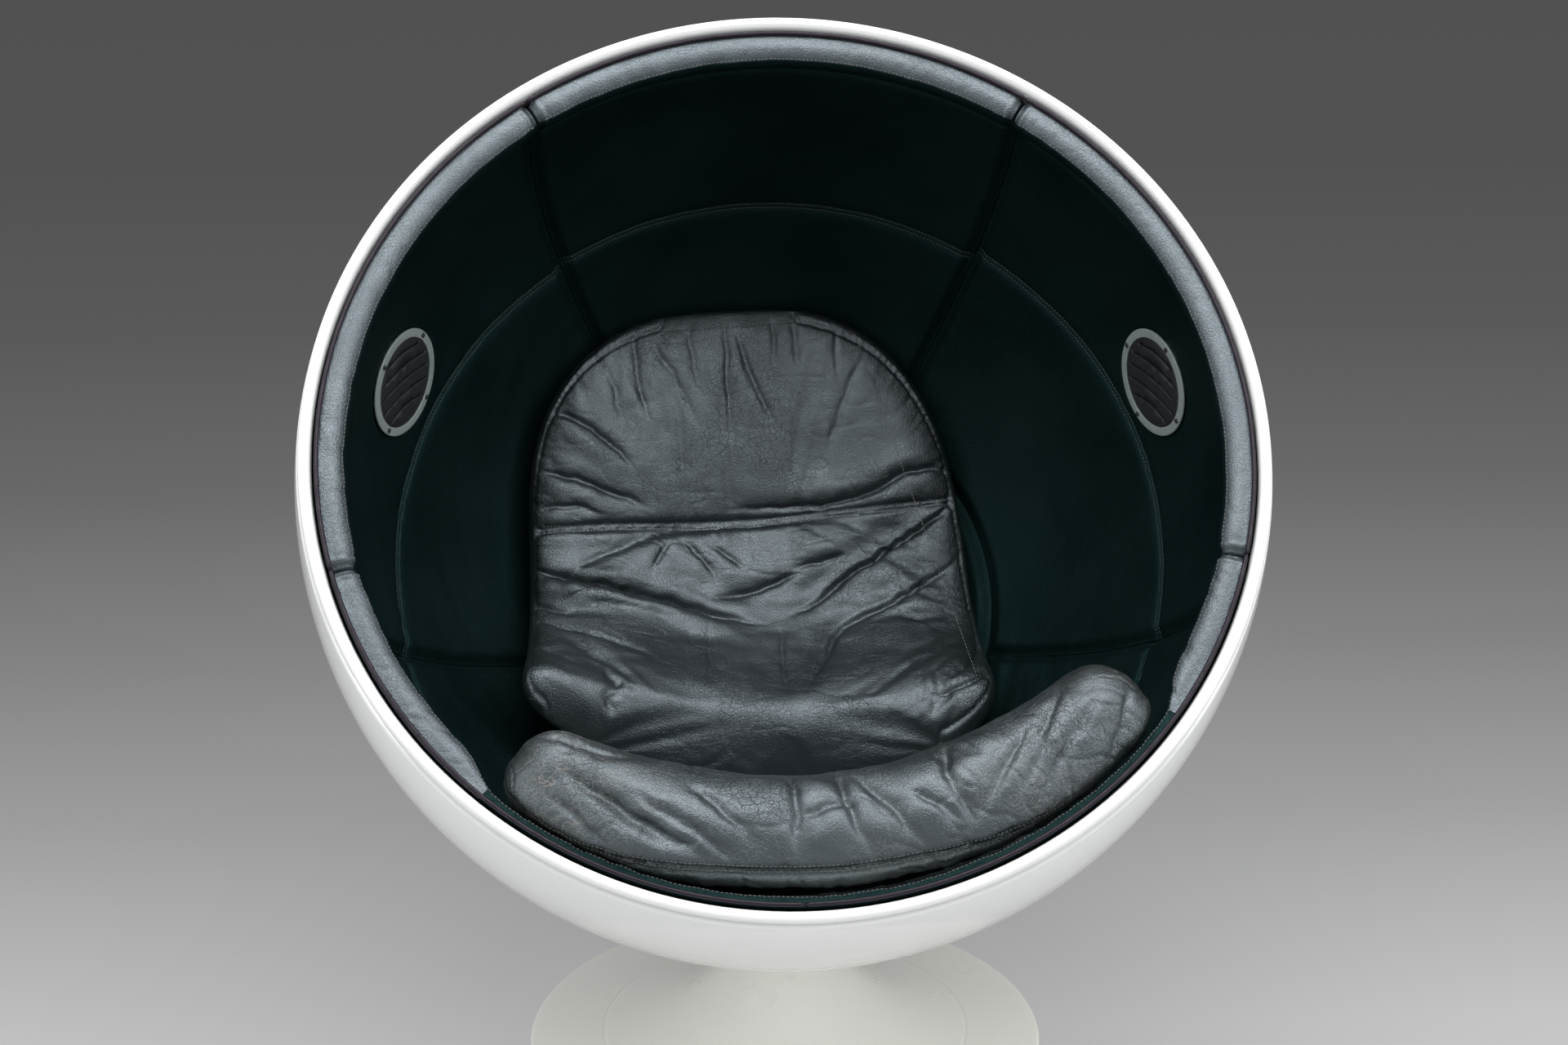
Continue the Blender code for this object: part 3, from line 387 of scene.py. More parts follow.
def turned(profile, steps):
    """Points and faces of a full turn about Z of an outline of (radius, height) points, which
    closes on itself or runs from the axis to the axis."""
    rim = [p for p in profile if p[0] > 1e-6]
    points = np.array([[(r * cos(a), r * sin(a), z) for a in full_turn(steps)] for r, z in rim]).reshape(-1, 3)
    faces = grid_faces(len(rim), steps, wrap=True)
    last = (len(rim) - 1) * steps
    if profile[0][0] > 1e-6:
        return points, faces + [(last + j, last + (j + 1) % steps, (j + 1) % steps, j) for j in range(steps)]
    for start, (_, height) in ((0, profile[0]), (last, profile[-1])):
        faces += [(start + j, start + (j + 1) % steps, len(points)) for j in range(steps)]
        points = np.concatenate([points, [(0, 0, height)]])
    return points, faces


def apply_modifiers(piece):
    """Replace the piece's mesh by what its modifiers make of it."""
    shape = bpy.data.meshes.new_from_object(piece.evaluated_get(bpy.context.evaluated_depsgraph_get()))
    piece.modifiers.clear()
    old, piece.data = piece.data, shape
    bpy.data.meshes.remove(old)


def reshape(piece, kind, **settings):
    """Put one modifier on the piece and keep its result."""
    step = piece.modifiers.new(kind.lower(), kind)
    for key, value in settings.items():
        setattr(step, key, value)
    apply_modifiers(piece)
    piece.data.shade_smooth()


def cut_away(piece, shape, place):
    """Cut a closed shape out of a piece."""
    tool = add_piece("cutter", shape, None, place, None)
    reshape(piece, "BOOLEAN", operation="DIFFERENCE", solver="EXACT", object=tool)
    bpy.data.objects.remove(tool)


def vertex_array(data, field="co"):
    source = data.vertices if field == "co" else data.vertex_normals
    values = np.zeros(len(data.vertices) * 3)
    source.foreach_get(field if field == "co" else "vector", values)
    return values.reshape(-1, 3)


def set_vertices(data, points):
    data.vertices.foreach_set("co", np.asarray(points, float).ravel())
    data.update()


def set_in_bowl(data, points):
    """Set vertices, none of them further out than the lining on which the piece rests."""
    local = points - np.array(CENTRE)
    local *= np.minimum(1.0, (BOWL - 0.0006) / np.linalg.norm(local, axis=1))[:, None]
    set_vertices(data, local + np.array(CENTRE))


def surface_path(piece, rays):
    """Points and normals where rays, given as (origin, direction), meet the piece."""
    tree = BVHTree.FromPolygons([v.co for v in piece.data.vertices], [p.vertices for p in piece.data.polygons])
    hits = [(*tree.ray_cast(Vector(origin), Vector(direction))[:2], Vector(direction))
            for origin, direction in rays]
    hits = [(hit, normal if normal.dot(way) < 0 else -normal) for hit, normal, way in hits if hit is not None]
    return [hit for hit, _ in hits], [normal for _, normal in hits]


# Materials
class Finish:
    """A Principled material built up from procedural nodes."""

    def __init__(self, slot, roughness, name=None, **fixed):
        self.material = bpy.data.materials.new(name or slot)
        self.material["slot"] = slot
        self.material.use_nodes = True
        self.tree = self.material.node_tree
        self.shader = self.tree.nodes["Principled BSDF"]
        self.place = self.tree.nodes.new("ShaderNodeTexCoord").outputs["Object"]
        self.dress(Roughness=roughness, **fixed)

    def feed(self, socket, value):
        if isinstance(value, bpy.types.NodeSocket):
            self.tree.links.new(value, socket)
        else:
            socket.default_value = value

    def dress(self, **inputs):
        """Set or link the shader's own inputs."""
        for name, value in inputs.items():
            self.feed(self.shader.inputs[name.replace("_", " ")], value)

    def node(self, kind, inputs, **settings):
        made = self.tree.nodes.new("ShaderNode" + kind)
        for key, value in settings.items():
            setattr(made, key, value)
        for socket, value in inputs.items():
            self.feed(made.inputs[socket], value)
        return made

    def math(self, operation, first, second=0.0):
        return self.node("Math", {0: first, 1: second}, operation=operation).outputs[0]

    def ranged(self, value, low, high, to_low=0.0, to_high=1.0):
        return self.node("MapRange", {"Value": value, "From Min": low, "From Max": high,
                                      "To Min": to_low, "To Max": to_high}).outputs[0]

    def noise(self, scale, detail, place=None, distortion=0.0):
        return self.node("TexNoise", {"Vector": place or self.place, "Scale": scale, "Detail": detail,
                                      "Distortion": distortion}).outputs["Fac"]

    def cells(self, scale, place=None):
        """Distance to the nearest cell border, for grain and cracks."""
        return self.node("TexVoronoi", {"Vector": place or self.place, "Scale": scale},
                         feature="DISTANCE_TO_EDGE").outputs["Distance"]

    def stretched(self, turn, scale):
        return self.node("Mapping", {"Vector": self.place, "Rotation": turn, "Scale": scale}).outputs[0]

    def warped(self, scale, amount):
        """The place, pushed about by noise so that cells lose their straight sides."""
        push = self.node("TexNoise", {"Vector": self.place, "Scale": scale, "Detail": 2.0}).outputs["Color"]
        push = self.node("VectorMath", {0: push, 1: (0.5, 0.5, 0.5)}, operation="SUBTRACT").outputs[0]
        push = self.node("VectorMath", {0: push, "Scale": amount}, operation="SCALE").outputs[0]
        return self.node("VectorMath", {0: self.place, 1: push}, operation="ADD").outputs[0]

    def blend(self, factor, first, second):
        first, second = ((*tone, 1.0) if isinstance(tone, tuple) else tone for tone in (first, second))
        return self.node("Mix", {0: factor, 6: first, 7: second}, data_type="RGBA").outputs[2]

    def bump(self, height, distance, strength=1.0):
        """Lay a bump over whatever bump is already there."""
        made = self.node("Bump", {"Height": height, "Distance": distance, "Strength": strength})
        if self.shader.inputs["Normal"].is_linked:
            self.feed(made.inputs["Normal"], self.shader.inputs["Normal"].links[0].from_socket)
        self.dress(Normal=made.outputs[0])


def leather(name, deep, worn, gloss, crack, scratch=0.0, streak=0.0, **shine):
    """Aniline leather: pebble grain, hairline cracks, colour rubbed off where it is worn."""
    made = Finish("black_leather", 0.42, name, **shine)
    cloud = made.noise(7.0, 4.0)
    fine = made.noise(55.0, 3.0)
    grain = made.ranged(made.cells(520.0, made.warped(60.0, 0.004)), 0.0, 0.22)
    pebble = made.ranged(made.cells(230.0, made.warped(30.0, 0.008)), 0.0, 0.16)
    where = made.ranged(made.noise(9.0, 3.0), 0.44, 0.60, 0.0, crack)
    coarse = made.ranged(made.cells(85.0, made.warped(26.0, 0.030)), 0.0, 0.030, 1.0, 0.0)
    close = made.ranged(made.cells(190.0, made.warped(70.0, 0.012)), 0.0, 0.045, 0.55, 0.0)
    line_depth = made.math("MULTIPLY", made.math("MAXIMUM", coarse, close), where)
    colour = made.blend(made.ranged(cloud, 0.35, 0.70), deep, worn)
    colour = made.blend(made.math("MULTIPLY", line_depth, 0.6), colour, (0.0012, 0.0015, 0.0016))
    rough = made.ranged(made.math("ADD", cloud, made.math("MULTIPLY", fine, 0.5)), 0.55, 0.95, *gloss)
    if scratch:
        marks = 0.0
        rub = made.ranged(made.noise(5.5, 3.0), 0.46, 0.66)
        for turn, scale in (((0.3, 0.2, 0.5), 31.0), ((1.1, 0.7, -0.6), 47.0), ((-0.7, 0.4, 1.3), 39.0)):
            ground = made.noise(1.0, 1.0, made.stretched(turn, (scale, scale * 4.5, scale * 2.0)), 0.35)
            off = made.math("ABSOLUTE", made.math("SUBTRACT", ground, 0.5))
            marks = made.math("MAXIMUM", marks, made.ranged(off, 0.0, 0.0110, 1.0, 0.0))
        marks = made.math("MULTIPLY", made.math("MULTIPLY", marks, rub), scratch)
        colour = made.blend(marks, colour, (0.150, 0.125, 0.102))
        rough = made.math("ADD", rough, made.math("MULTIPLY", marks, 0.2))
    made.dress(Base_Color=colour, Roughness=rough)
    if streak:
        hair = made.noise(1.0, 2.0, made.stretched((0.5, 0.0, 0.2), (60.0, 420.0, 60.0)), 0.4)
        made.bump(hair, 0.0007 * streak, 0.7)
    for height, depth in ((line_depth, -0.00035), (pebble, 0.00016), (grain, 0.00009)):
        made.bump(height, depth)
    return made.material


def plain(slot, roughness, tone, dark, pale, grain, specks=None, polish=None, name=None, **fixed):
    """Two colours clouded by noise, with specks, uneven polish and a fine grain. Noises are given
    as scale and detail, and a grain without detail is one of cells."""
    made = Finish(slot, roughness, name, **fixed)
    colour = made.blend(made.noise(*tone), dark, pale)
    if specks:
        scale, low, high, share, tint = specks
        colour = made.blend(made.ranged(made.noise(scale, 1.0), low, high, 0.0, share), colour, tint)
    made.dress(Base_Color=colour)
    if polish:
        scale, detail, *spread = polish
        made.dress(Roughness=made.ranged(made.noise(scale, detail), *spread))
    scale, detail, *depth = grain
    made.bump(made.noise(scale, detail) if detail else made.cells(scale), *depth)
    return made.material


def make_finishes():
    made = [
        plain("white_gelcoat", 0.10, (3.0, 4.0), (0.775, 0.782, 0.785), (0.815, 0.820, 0.815),
              (14.0, 2.0, 0.0009, 0.25), (900.0, 0.78, 0.83, 0.5, (0.30, 0.28, 0.25)),
              (9.0, 5.0, 0.35, 0.7, 0.05, 0.12), Specular_IOR_Level=0.5, Coat_Weight=0.2, Coat_Roughness=0.03),
        plain("cream_paint", 0.32, (4.0, 5.0), (0.775, 0.775, 0.720), (0.825, 0.825, 0.780),
              (260.0, 3.0, 0.00012, 0.5), (420.0, 0.76, 0.82, 0.6, (0.36, 0.33, 0.28)),
              (12.0, 4.0, 0.35, 0.7, 0.26, 0.42), Specular_IOR_Level=0.5),
        plain("black_piping", 0.35, (40.0, 3.0), (0.006, 0.004, 0.009), (0.016, 0.010, 0.018),
              (500.0, None, 0.0002), polish=(90.0, 3.0, 0.3, 0.7, 0.28, 0.5), Specular_IOR_Level=0.25),
        plain("zinc_steel", 0.34, (70.0, 4.0), (0.44, 0.45, 0.47), (0.60, 0.61, 0.63), (600.0, 2.0, 0.00008),
              polish=(130.0, 3.0, 0.3, 0.7, 0.24, 0.45), Metallic=1.0),
        plain("grey_iron", 0.6, (45.0, 5.0), (0.075, 0.075, 0.078), (0.15, 0.145, 0.14), (260.0, 4.0, 0.0005),
              Metallic=0.8),
        plain("black_rubber", 0.8, (60.0, 4.0), (0.014, 0.014, 0.014), (0.028, 0.028, 0.027), (700.0, 3.0, 0.0002)),
        plain("white_nylon", 0.45, (50.0, 3.0), (0.72, 0.72, 0.68), (0.80, 0.80, 0.78), (500.0, 2.0, 0.0001)),
        plain("speaker_grey", 0.38, (120.0, 4.0), (0.200, 0.235, 0.240), (0.290, 0.330, 0.335),
              (1400.0, 2.0, 0.00006), polish=(220.0, 3.0, 0.3, 0.7, 0.30, 0.48), Specular_IOR_Level=0.5),
        plain("speaker_black", 0.5, (150.0, 3.0), (0.011, 0.013, 0.014), (0.022, 0.024, 0.026),
              (900.0, None, 0.00025)),
        plain("cone_paper", 0.85, (200.0, 5.0), (0.010, 0.010, 0.010), (0.026, 0.025, 0.023), (900.0, 4.0, 0.0003)),
    ]
    finishes = {material["slot"]: material for material in made}
    finishes["thread"] = plain("black_piping", 0.55, (60.0, 2.0), (0.045, 0.050, 0.052), (0.105, 0.110, 0.108),
                               (1800.0, 1.0, 0.0002), name="thread", Sheen_Weight=0.3)
    dull = {"Specular_IOR_Level": 0.16, "Specular_Tint": (0.4, 1.0, 1.0, 1.0)}
    bright = {"Specular_IOR_Level": 1.0, "Specular_Tint": (0.80, 0.93, 1.0, 1.0), "IOR": 1.62}
    for name, deep, worn, gloss, crack, scratch, streak, shine in (
            ("lining", (0.0022, 0.0062, 0.0068), (0.0042, 0.0092, 0.0100), (0.40, 0.56), 0.15, 0.0, 0.6, dull),
            ("rim", (0.0040, 0.0060, 0.0080), (0.0095, 0.0125, 0.0160), (0.43, 0.55), 0.45, 0.0, 0.5,
             {**bright, "IOR": 1.72}),
            ("cushion", (0.0030, 0.0042, 0.0052), (0.0072, 0.0090, 0.0110), (0.38, 0.50), 0.75, 0.0, 0.0, bright),
            ("front", (0.0036, 0.0050, 0.0060), (0.0092, 0.0114, 0.0130), (0.36, 0.48), 1.0, 0.9, 0.0, bright),
            # The band's two colours are several times lighter than the other leathers. This is painted light,
            # standing in for light thrown up from the white lip and the floor onto the front roll's lower band. Its
            # scratches are real wear.
            ("band_painted_light", (0.0150, 0.0200, 0.0200), (0.0330, 0.0400, 0.0390), (0.42, 0.58), 1.0, 0.3, 0.0, bright)):
        finishes[name] = leather(name + "_leather", deep, worn, gloss, crack, scratch, streak, **shine)
    finishes["black_leather"] = finishes["lining"]
    return finishes


FINISH = make_finishes()


def add_stitches(name, path, outward):
    """A row of thread stitches along a path of points, lying on a surface with given normals."""
    path, outward = np.asarray(path), np.asarray(outward)
    along = lengths_along(path)

    def at(place, values):
        return np.array([np.interp(place, along, values[:, k]) for k in range(3)])

    points, faces = [], []
    count = int(along[-1] / STITCH_PITCH)
    for middle in (np.arange(count) + 0.5) * along[-1] / count:
        spots = [at(middle + share * STITCH_LENGTH, path) for share, _, _ in STITCH_STATIONS]
        normal = at(middle, outward)
        normal /= np.linalg.norm(normal)
        forward = spots[-1] - spots[0]
        across = np.cross(normal, forward / np.linalg.norm(forward))
        stitch, quads = loft([
            [spot + STITCH_RADIUS * (normal * (rise + size * cos(turn)) + across * size * sin(turn))
             for turn in full_turn(5)] for spot, (_, size, rise) in zip(spots, STITCH_STATIONS)])
        faces += [tuple(len(points) + corner for corner in quad) for quad in quads]
        points.extend(stitch)
    add_piece(name, (points, faces), FINISH["thread"])


# Shell and foot
def make_shell():
    lip = atan2(LIP_RHO, LIP_PLANE)
    profile = arc(BALL_RADIUS, pi, lip + radians(0.8), 100)
    profile += arc(LIP_RADIUS, lip + radians(82), lip - radians(96), 16, (LIP_RHO, LIP_PLANE))
    profile += arc(BALL_RADIUS - 2 * LIP_RADIUS, lip + radians(0.5), lip + radians(3.5), 4)
    profile += arc(INNER_RADIUS, lip + radians(6.0), pi, 50)
    add_piece("ball_shell_fine", turned(profile, 200), FINISH["white_gelcoat"], OPENING, node="ball_shell")


def flare(radius):
    share = (FOOT_RADIUS - radius) / (FOOT_RADIUS - NECK_RADIUS)
    return FOOT_EDGE_Z + 0.003 + (NECK_TOP - 0.012 - FOOT_EDGE_Z) * share ** 3


def make_foot():
    """The foot's skin, with the faint turned line that the casting shows round its skirt."""
    radii = np.unique(np.concatenate([
        NECK_RADIUS + (FOOT_RADIUS - 0.004 - NECK_RADIUS) * np.linspace(0, 1, 60) ** 1.5,
        FOOT_LINE_RADIUS + np.linspace(-0.006, 0.006, 13)]))
    outer = [(NECK_RADIUS - 0.0015, NECK_TOP), (NECK_RADIUS, NECK_TOP - 0.0015)]
    outer += [(r, flare(r) - 0.0006 * groove(r - FOOT_LINE_RADIUS, 0.0018)) for r in radii]
    seat = FOOT_RADIUS - 0.012
    edge = [(FOOT_RADIUS - 0.0025, FOOT_EDGE_Z + 0.0029), (FOOT_RADIUS - 0.0008, FOOT_EDGE_Z + 0.0018),
            (FOOT_RADIUS, FOOT_EDGE_Z), (FOOT_RADIUS - 0.0006, 0.006), (FOOT_RADIUS - 0.002, PAD_TOP),
            (seat, PAD_TOP), (seat, 0.0096)]
    under = [(r, flare(r) - FOOT_WALL) for r in radii[::-1] if NECK_RADIUS + 0.012 < r < seat - 0.02]
    web = [(NECK_RADIUS + 0.010, 0.056), (0.0128, 0.056), (0.0128, 0.066), (NECK_RADIUS - 0.007, 0.066),
           (NECK_RADIUS - 0.007, NECK_TOP)]
    add_piece("trumpet_foot_fine", turned(outer + edge + under + web, 180), FINISH["cream_paint"], body="foot",
              node="trumpet_foot")


# Lining
def edge_drop(distance):
    return LINING_DROP * (1 - smooth_step(distance / LINING_EDGE)) ** 1.5


def speaker_axis(side):
    """Frame on the speaker's seat: Z towards the ball's centre, Y towards the mouth."""
    outward = Vector(polar(*SPEAKER_PLACES[side], 1.0))
    return Matrix.Translation(outward * SPEAKER_SEAT) @ (-outward).to_track_quat("Z", "Y").to_matrix().to_4x4()


def lining_points(side, theta, phi, edges):
    """The leather's face in the opening frame, at polar places on one panel."""
    start, end, low, high = edges
    rho = LINING_RADIUS * np.sin(theta)
    to_side = np.minimum(phi - low, high - phi) * np.sin(theta)
    height = -edge_drop(np.minimum(np.minimum(theta - start, end - theta), to_side))
    height += 0.0012 * flat_noise(theta * LINING_RADIUS, phi * rho, 0.085, 11)
    height += 0.0005 * flat_noise(theta * LINING_RADIUS, phi * rho, 0.034, 12)
    height += seam_puckers(theta * LINING_RADIUS, to_side * LINING_RADIUS, 0.022, 21)
    height += seam_puckers(phi * rho, (end - theta) * LINING_RADIUS, 0.012, 23)
    off = (theta - TWIN_SEAM[side]) * LINING_RADIUS
    height += seam_puckers(phi * rho, np.abs(off), 0.011, 27) + seam_relief(off, LINING_SEAM)
    return polar(theta, phi, LINING_RADIUS - height)


def open_for_speaker(points, side):
    """Flatten the leather round the speaker's well, and sink it there."""
    axis = speaker_axis(side)
    local = in_frame(points, axis.inverted())
    reach = np.hypot(local[:, 0], local[:, 1])
    rest = -0.0002 - 0.0308 * smooth_step((0.0625 - reach) / 0.0065)
    share = smooth_step((0.0695 - reach) / 0.0035)
    local[:, 2] = local[:, 2] * (1 - share) + np.minimum(rest, local[:, 2] + 0.004) * share
    return in_frame(local, axis)


def make_panel(side):
    low, high = SPANS[side]
    end = PANEL_END - PANEL_JOIN / 2
    inset = PANEL_JOIN / 2 / sin(PANEL_START)
    edges = (PANEL_START, end, low + inset, high - inset)
    step = 0.0055 / LINING_RADIUS
    near = radians(2.4)
    finer = [[(PANEL_START, near, step * 0.35), (end, near, step * 0.35),
              (TWIN_SEAM[side], radians(0.9), step * 0.13)],
             [(edge, near, step * 0.35) for edge in edges[2:]]]
    for spots, place in zip(finer, SPEAKER_PLACES.get(side, ())):
        spots.append((place, radians(8.6), step * 0.4))
    thetas = uneven_steps(PANEL_START, end, step, finer[0])
    phis = uneven_steps(*edges[2:], step, finer[1])
    theta, phi = np.meshgrid(thetas, phis, indexing="ij")
    front = lining_points(side, theta.ravel(), phi.ravel(), edges)
    if side in SPEAKER_PLACES:
        front = open_for_speaker(front, side)
    sheet = padded_sheet(front.reshape(*theta.shape, 3), polar(theta, phi, PANEL_BACK))
    name = f"{side}_lining_panel"
    add_piece(name + "_leather", sheet, FINISH["lining"], OPENING, node=name)

    for index, offset in enumerate((-LINING_SEAM[4], LINING_SEAM[5])):
        phi = np.linspace(edges[2] + 0.012, edges[3] - 0.012, 260)
        theta = np.full_like(phi, TWIN_SEAM[side] + offset / LINING_RADIUS)
        path = in_frame(lining_points(side, theta, phi, edges), OPENING)
        add_stitches(f"{name}_stitches_{index + 1}", path, np.array(CENTRE) - path)


def make_disc():
    edge = PANEL_END + PANEL_JOIN / 2
    thetas = uneven_steps(edge, pi - 0.012, 0.011, [(edge, radians(3.0), 0.003)])
    theta, phi = np.meshgrid(thetas, full_turn(160), indexing="ij")
    noise = soft_noise(polar(theta, phi, LINING_RADIUS).reshape(-1, 3), 0.06, 14).reshape(theta.shape)
    front = polar(theta, phi, LINING_RADIUS + edge_drop(theta - edge) - 0.0010 * noise)
    add_piece("back_lining_disc_leather", loft([*front[::-1], *polar(theta, phi, PANEL_BACK)]), FINISH["lining"],
              OPENING, node="back_lining_disc")


# Rim
def squeeze(phi):
    """1 where the seat's front roll presses the rim flat, 0 where the rim stands full."""
    away = abs(phi - (1.5 * pi + FRONT_ROLL_TURN))
    return float(1 - smooth_step((away - radians(44)) / radians(9)))


def rim_section(phi):
    """The roll's outline at phi, and where its front and side covers are sewn together."""
    pressed = squeeze(phi)
    crest = LIP_INSIDE - ROLL_WIDTH + ROLL_SQUEEZE * pressed
    front = RIM_FRONT - 0.004 * pressed
    start = PANEL_START - PANEL_JOIN
    corners = [(LIP_INSIDE, RIM_FRONT), (crest, front)]
    for radius in (LINING_RADIUS - 0.0015 * (1 - pressed), BALL_RADIUS - 2 * LIP_RADIUS - 0.0009):
        corners.append((radius * sin(start), radius * cos(start)))
    soft = 0.017 - 0.0125 * pressed
    seam = (crest + soft * (1 - sin(RIM_SEAM_TURN)), front - soft * (1 - cos(RIM_SEAM_TURN)))
    return resampled(rounded(corners, [0.003, soft, 0.003, 0.002], [4, 28, 4, 3]), seam, *RIM_COLUMNS), seam


def rim_wrinkles(along, turn, lower, seed):
    """Slanting creases of a stuffed roll, deeper on the lower ones that bodies rub."""
    height = 0.0006 * flat_noise(along + turn * 0.5, turn * 0.35, 0.030, seed)
    height += 0.0003 * flat_noise(along + turn * 0.5, turn * 0.35, 0.011, seed + 1)
    deep = fine_folds(along - turn * 0.8, turn * 0.22, 0.016, seed + 2, 0.22)
    return height - (0.0012 if lower else 0.0004) * deep


def make_roll(position, span, seed):
    start, end = span[0] + ROLL_END_GAP, span[1] - ROLL_END_GAP
    finer = [(edge, 0.026, 0.0011 / LIP_INSIDE) for edge in (start, end)]
    phis = uneven_steps(start, end, 0.0034 / LIP_INSIDE, finer)
    lower = position == "bottom"
    rings = []
    for phi in phis:
        outline, seam = rim_section(phi)
        middle = outline.mean(axis=0)
        normal = outward_normals(outline)
        to_end = min(phi - start, end - phi) * LIP_INSIDE
        to_seam = np.linalg.norm(outline - seam, axis=1)
        free = smooth_step((LIP_INSIDE - 0.004 - outline[:, 0]) / 0.006)
        free *= smooth_step((outline[:, 1] - outline[:, 1].min()) / 0.012)
        lift = rim_wrinkles(phi * LIP_INSIDE, lengths_along(outline), lower or squeeze(phi) > 0.02, seed)
        lift += 1.4 * seam_puckers(phi * LIP_INSIDE, to_seam, 0.010, seed + 3)
        lift -= 0.0012 * groove(to_end - 0.012, 0.004)
        lift = lift * free - 0.0016 * groove(to_seam, 0.0012) + 0.0005 * groove(to_seam - 0.0032, 0.0014)
        outline = outline + normal * lift[:, None]
        outline += (middle - outline) * 0.30 * (1 - smooth_step(to_end / 0.011)) ** 1.6
        rings.append(swung(outline, phi))
    name = f"{position}_rim_roll"
    roll = add_piece(name + "_leather", loft(rings), FINISH["rim"], OPENING, node=name)
    roll.data.materials.append(FINISH["lining"])
    # Faces of the bottom roll that the front roll presses flat get the dark lining leather as painted shade,
    # standing in for the shade under the front roll's overhang. The columns past the side seam get it as the roll's
    # own side cover.
    pressed = np.array([lower and squeeze(phi) > 0.93 for phi in phis[1:]])
    dull = pressed[:, None] | (np.arange(len(rings[0])) >= RIM_SIDE_COLUMN)[None, :]
    roll.data.polygons.foreach_set("material_index", np.append(dull.ravel(), [False, False]).astype(np.int32))
    path = in_frame([ring[RIM_SIDE_COLUMN - 3] for ring in rings], OPENING)[6:-6]
    add_stitches(name + "_stitches", path, in_frame([(0, 0, 0.35)], OPENING) - path)


def make_welt(position, span):
    start, end = span[0] + 0.0004 / LIP_INSIDE, span[1] - 0.0004 / LIP_INSIDE
    rho = LIP_INSIDE - WELT_RADIUS
    turns = full_turn(14)
    rings = []
    for phi in np.linspace(start, end, max(20, int((end - start) * rho / 0.004))):
        to_end = min(phi - start, end - phi) * rho
        size = WELT_RADIUS * (1 - 0.35 * (1 - smooth_step(to_end / 0.003)))
        wave = 0.00025 * sin(phi * rho / 0.013) + 0.0002 * sin(phi * rho / 0.0041)
        high = RIM_FRONT + 0.0003 + WELT_RADIUS + wave
        rings.append(swung(np.stack([rho + size * np.cos(turns), high + size * np.sin(turns)], axis=1), phi))
    name = f"{position}_rim_welt"
    add_piece(name + "_cord", loft(rings), FINISH["black_piping"], OPENING, node=name)


def make_rim():
    for index, (side, span) in enumerate(SPANS.items()):
        make_roll("top" if side == "back" else side, span, 40 + 7 * index)
    low = 1.5 * pi
    for position, span in (("top", SPANS["back"]), ("left", SPANS["left"]), ("right", SPANS["right"]),
                           ("bottom_left", (SEAM_LOW_LEFT, low)), ("bottom_right", (low, SEAM_LOW_RIGHT))):
        make_welt(position, span)


# Soft forms
CLOTH = {"use_pressure": True, "quality": 6, "tension_stiffness": 12.0, "compression_stiffness": 12.0,
         "bending_stiffness": 0.6}
CLOTH_FRAMES = 20


def swell(piece, cap, pinned, pressure=4.0):
    """Fill a stuffed piece out with a short cloth simulation, no point moving beyond cap."""
    start = vertex_array(piece.data)
    cloth = piece.modifiers.new("stuffing", "CLOTH")
    for key, value in CLOTH.items():
        setattr(cloth.settings, key, value)
    cloth.settings.uniform_pressure_force = pressure
    cloth.settings.effector_weights.gravity = 0.0
    cloth.collision_settings.use_collision = False
    cloth.point_cache.frame_end = CLOTH_FRAMES
    group = piece.vertex_groups.new(name="seams")
    for index in np.where(pinned > 0.02)[0]:
        group.add([int(index)], float(pinned[index]), "REPLACE")
    cloth.settings.vertex_group_mass = "seams"
    for step in range(1, CLOTH_FRAMES + 1):
        bpy.context.scene.frame_set(step)
    apply_modifiers(piece)
    piece.vertex_groups.clear()
    bpy.context.scene.frame_set(1)
    moved = vertex_array(piece.data) - start
    length = np.linalg.norm(moved, axis=1)
    limit = cap * np.tanh(length / cap) / np.maximum(length, 1e-9)
    set_vertices(piece.data, start + moved * limit[:, None])


def crease_height(places, creases, widen=1.0, begin=0.25):
    """Height left by folds, each (depth, width, bulge, path) over an unrolled surface in metres."""
    total = np.zeros(len(places))
    wobble = 0.0022 * flat_noise(places[:, 0], places[:, 1], 0.016, 61)
    for depth, width, bulge, path in creases:
        width *= widen
        path = polyline(path, 16)
        best = np.full(len(places), 1e9)
        signed = np.zeros(len(places))
        along = np.zeros(len(places))
        reached = lengths_along(path)
        for a, b, behind, ahead in zip(path, path[1:], reached, reached[1:]):
            direction = (b - a) / (ahead - behind)
            offset = places - a
            t = np.clip(offset @ direction, 0, ahead - behind)
            distance = np.linalg.norm(offset - t[:, None] * direction, axis=1)
            closer = distance < best
            best = np.where(closer, distance, best)
            side = offset[:, 0] * direction[1] - offset[:, 1] * direction[0]
            signed = np.where(closer, np.sign(side) * distance, signed)
            along = np.where(closer, behind + t, along)
        share = along / reached[-1]
        taper = smooth_step(share / 0.28 + begin) * smooth_step((1 - share) / 0.45)
        across = signed + wobble
        valley = 0.9 * groove(across, 0.75 * width) + 0.4 * groove(across, 2.1 * width)
        shoulder = groove(across - 3.8 * width, 3.4 * width) + 0.25 * groove(across + 3.4 * width, 2.6 * width)
        total += taper * depth * (bulge * shoulder - valley)
    return total


def degrees_path(mean, places):
    """Millimetres along and degrees round, in turns, as places in metres on a mean radius."""
    return [(x / 1000, radians(turn) * mean) for x, turn in zip(places[::2], places[1::2])]


def read_creases(mean, rows):
    """Folds from rows of depth and width in millimetres, bulge, and places as above."""
    return [(depth / 1000, width / 1000, bulge, degrees_path(mean, places))
            for depth, width, bulge, *places in rows]


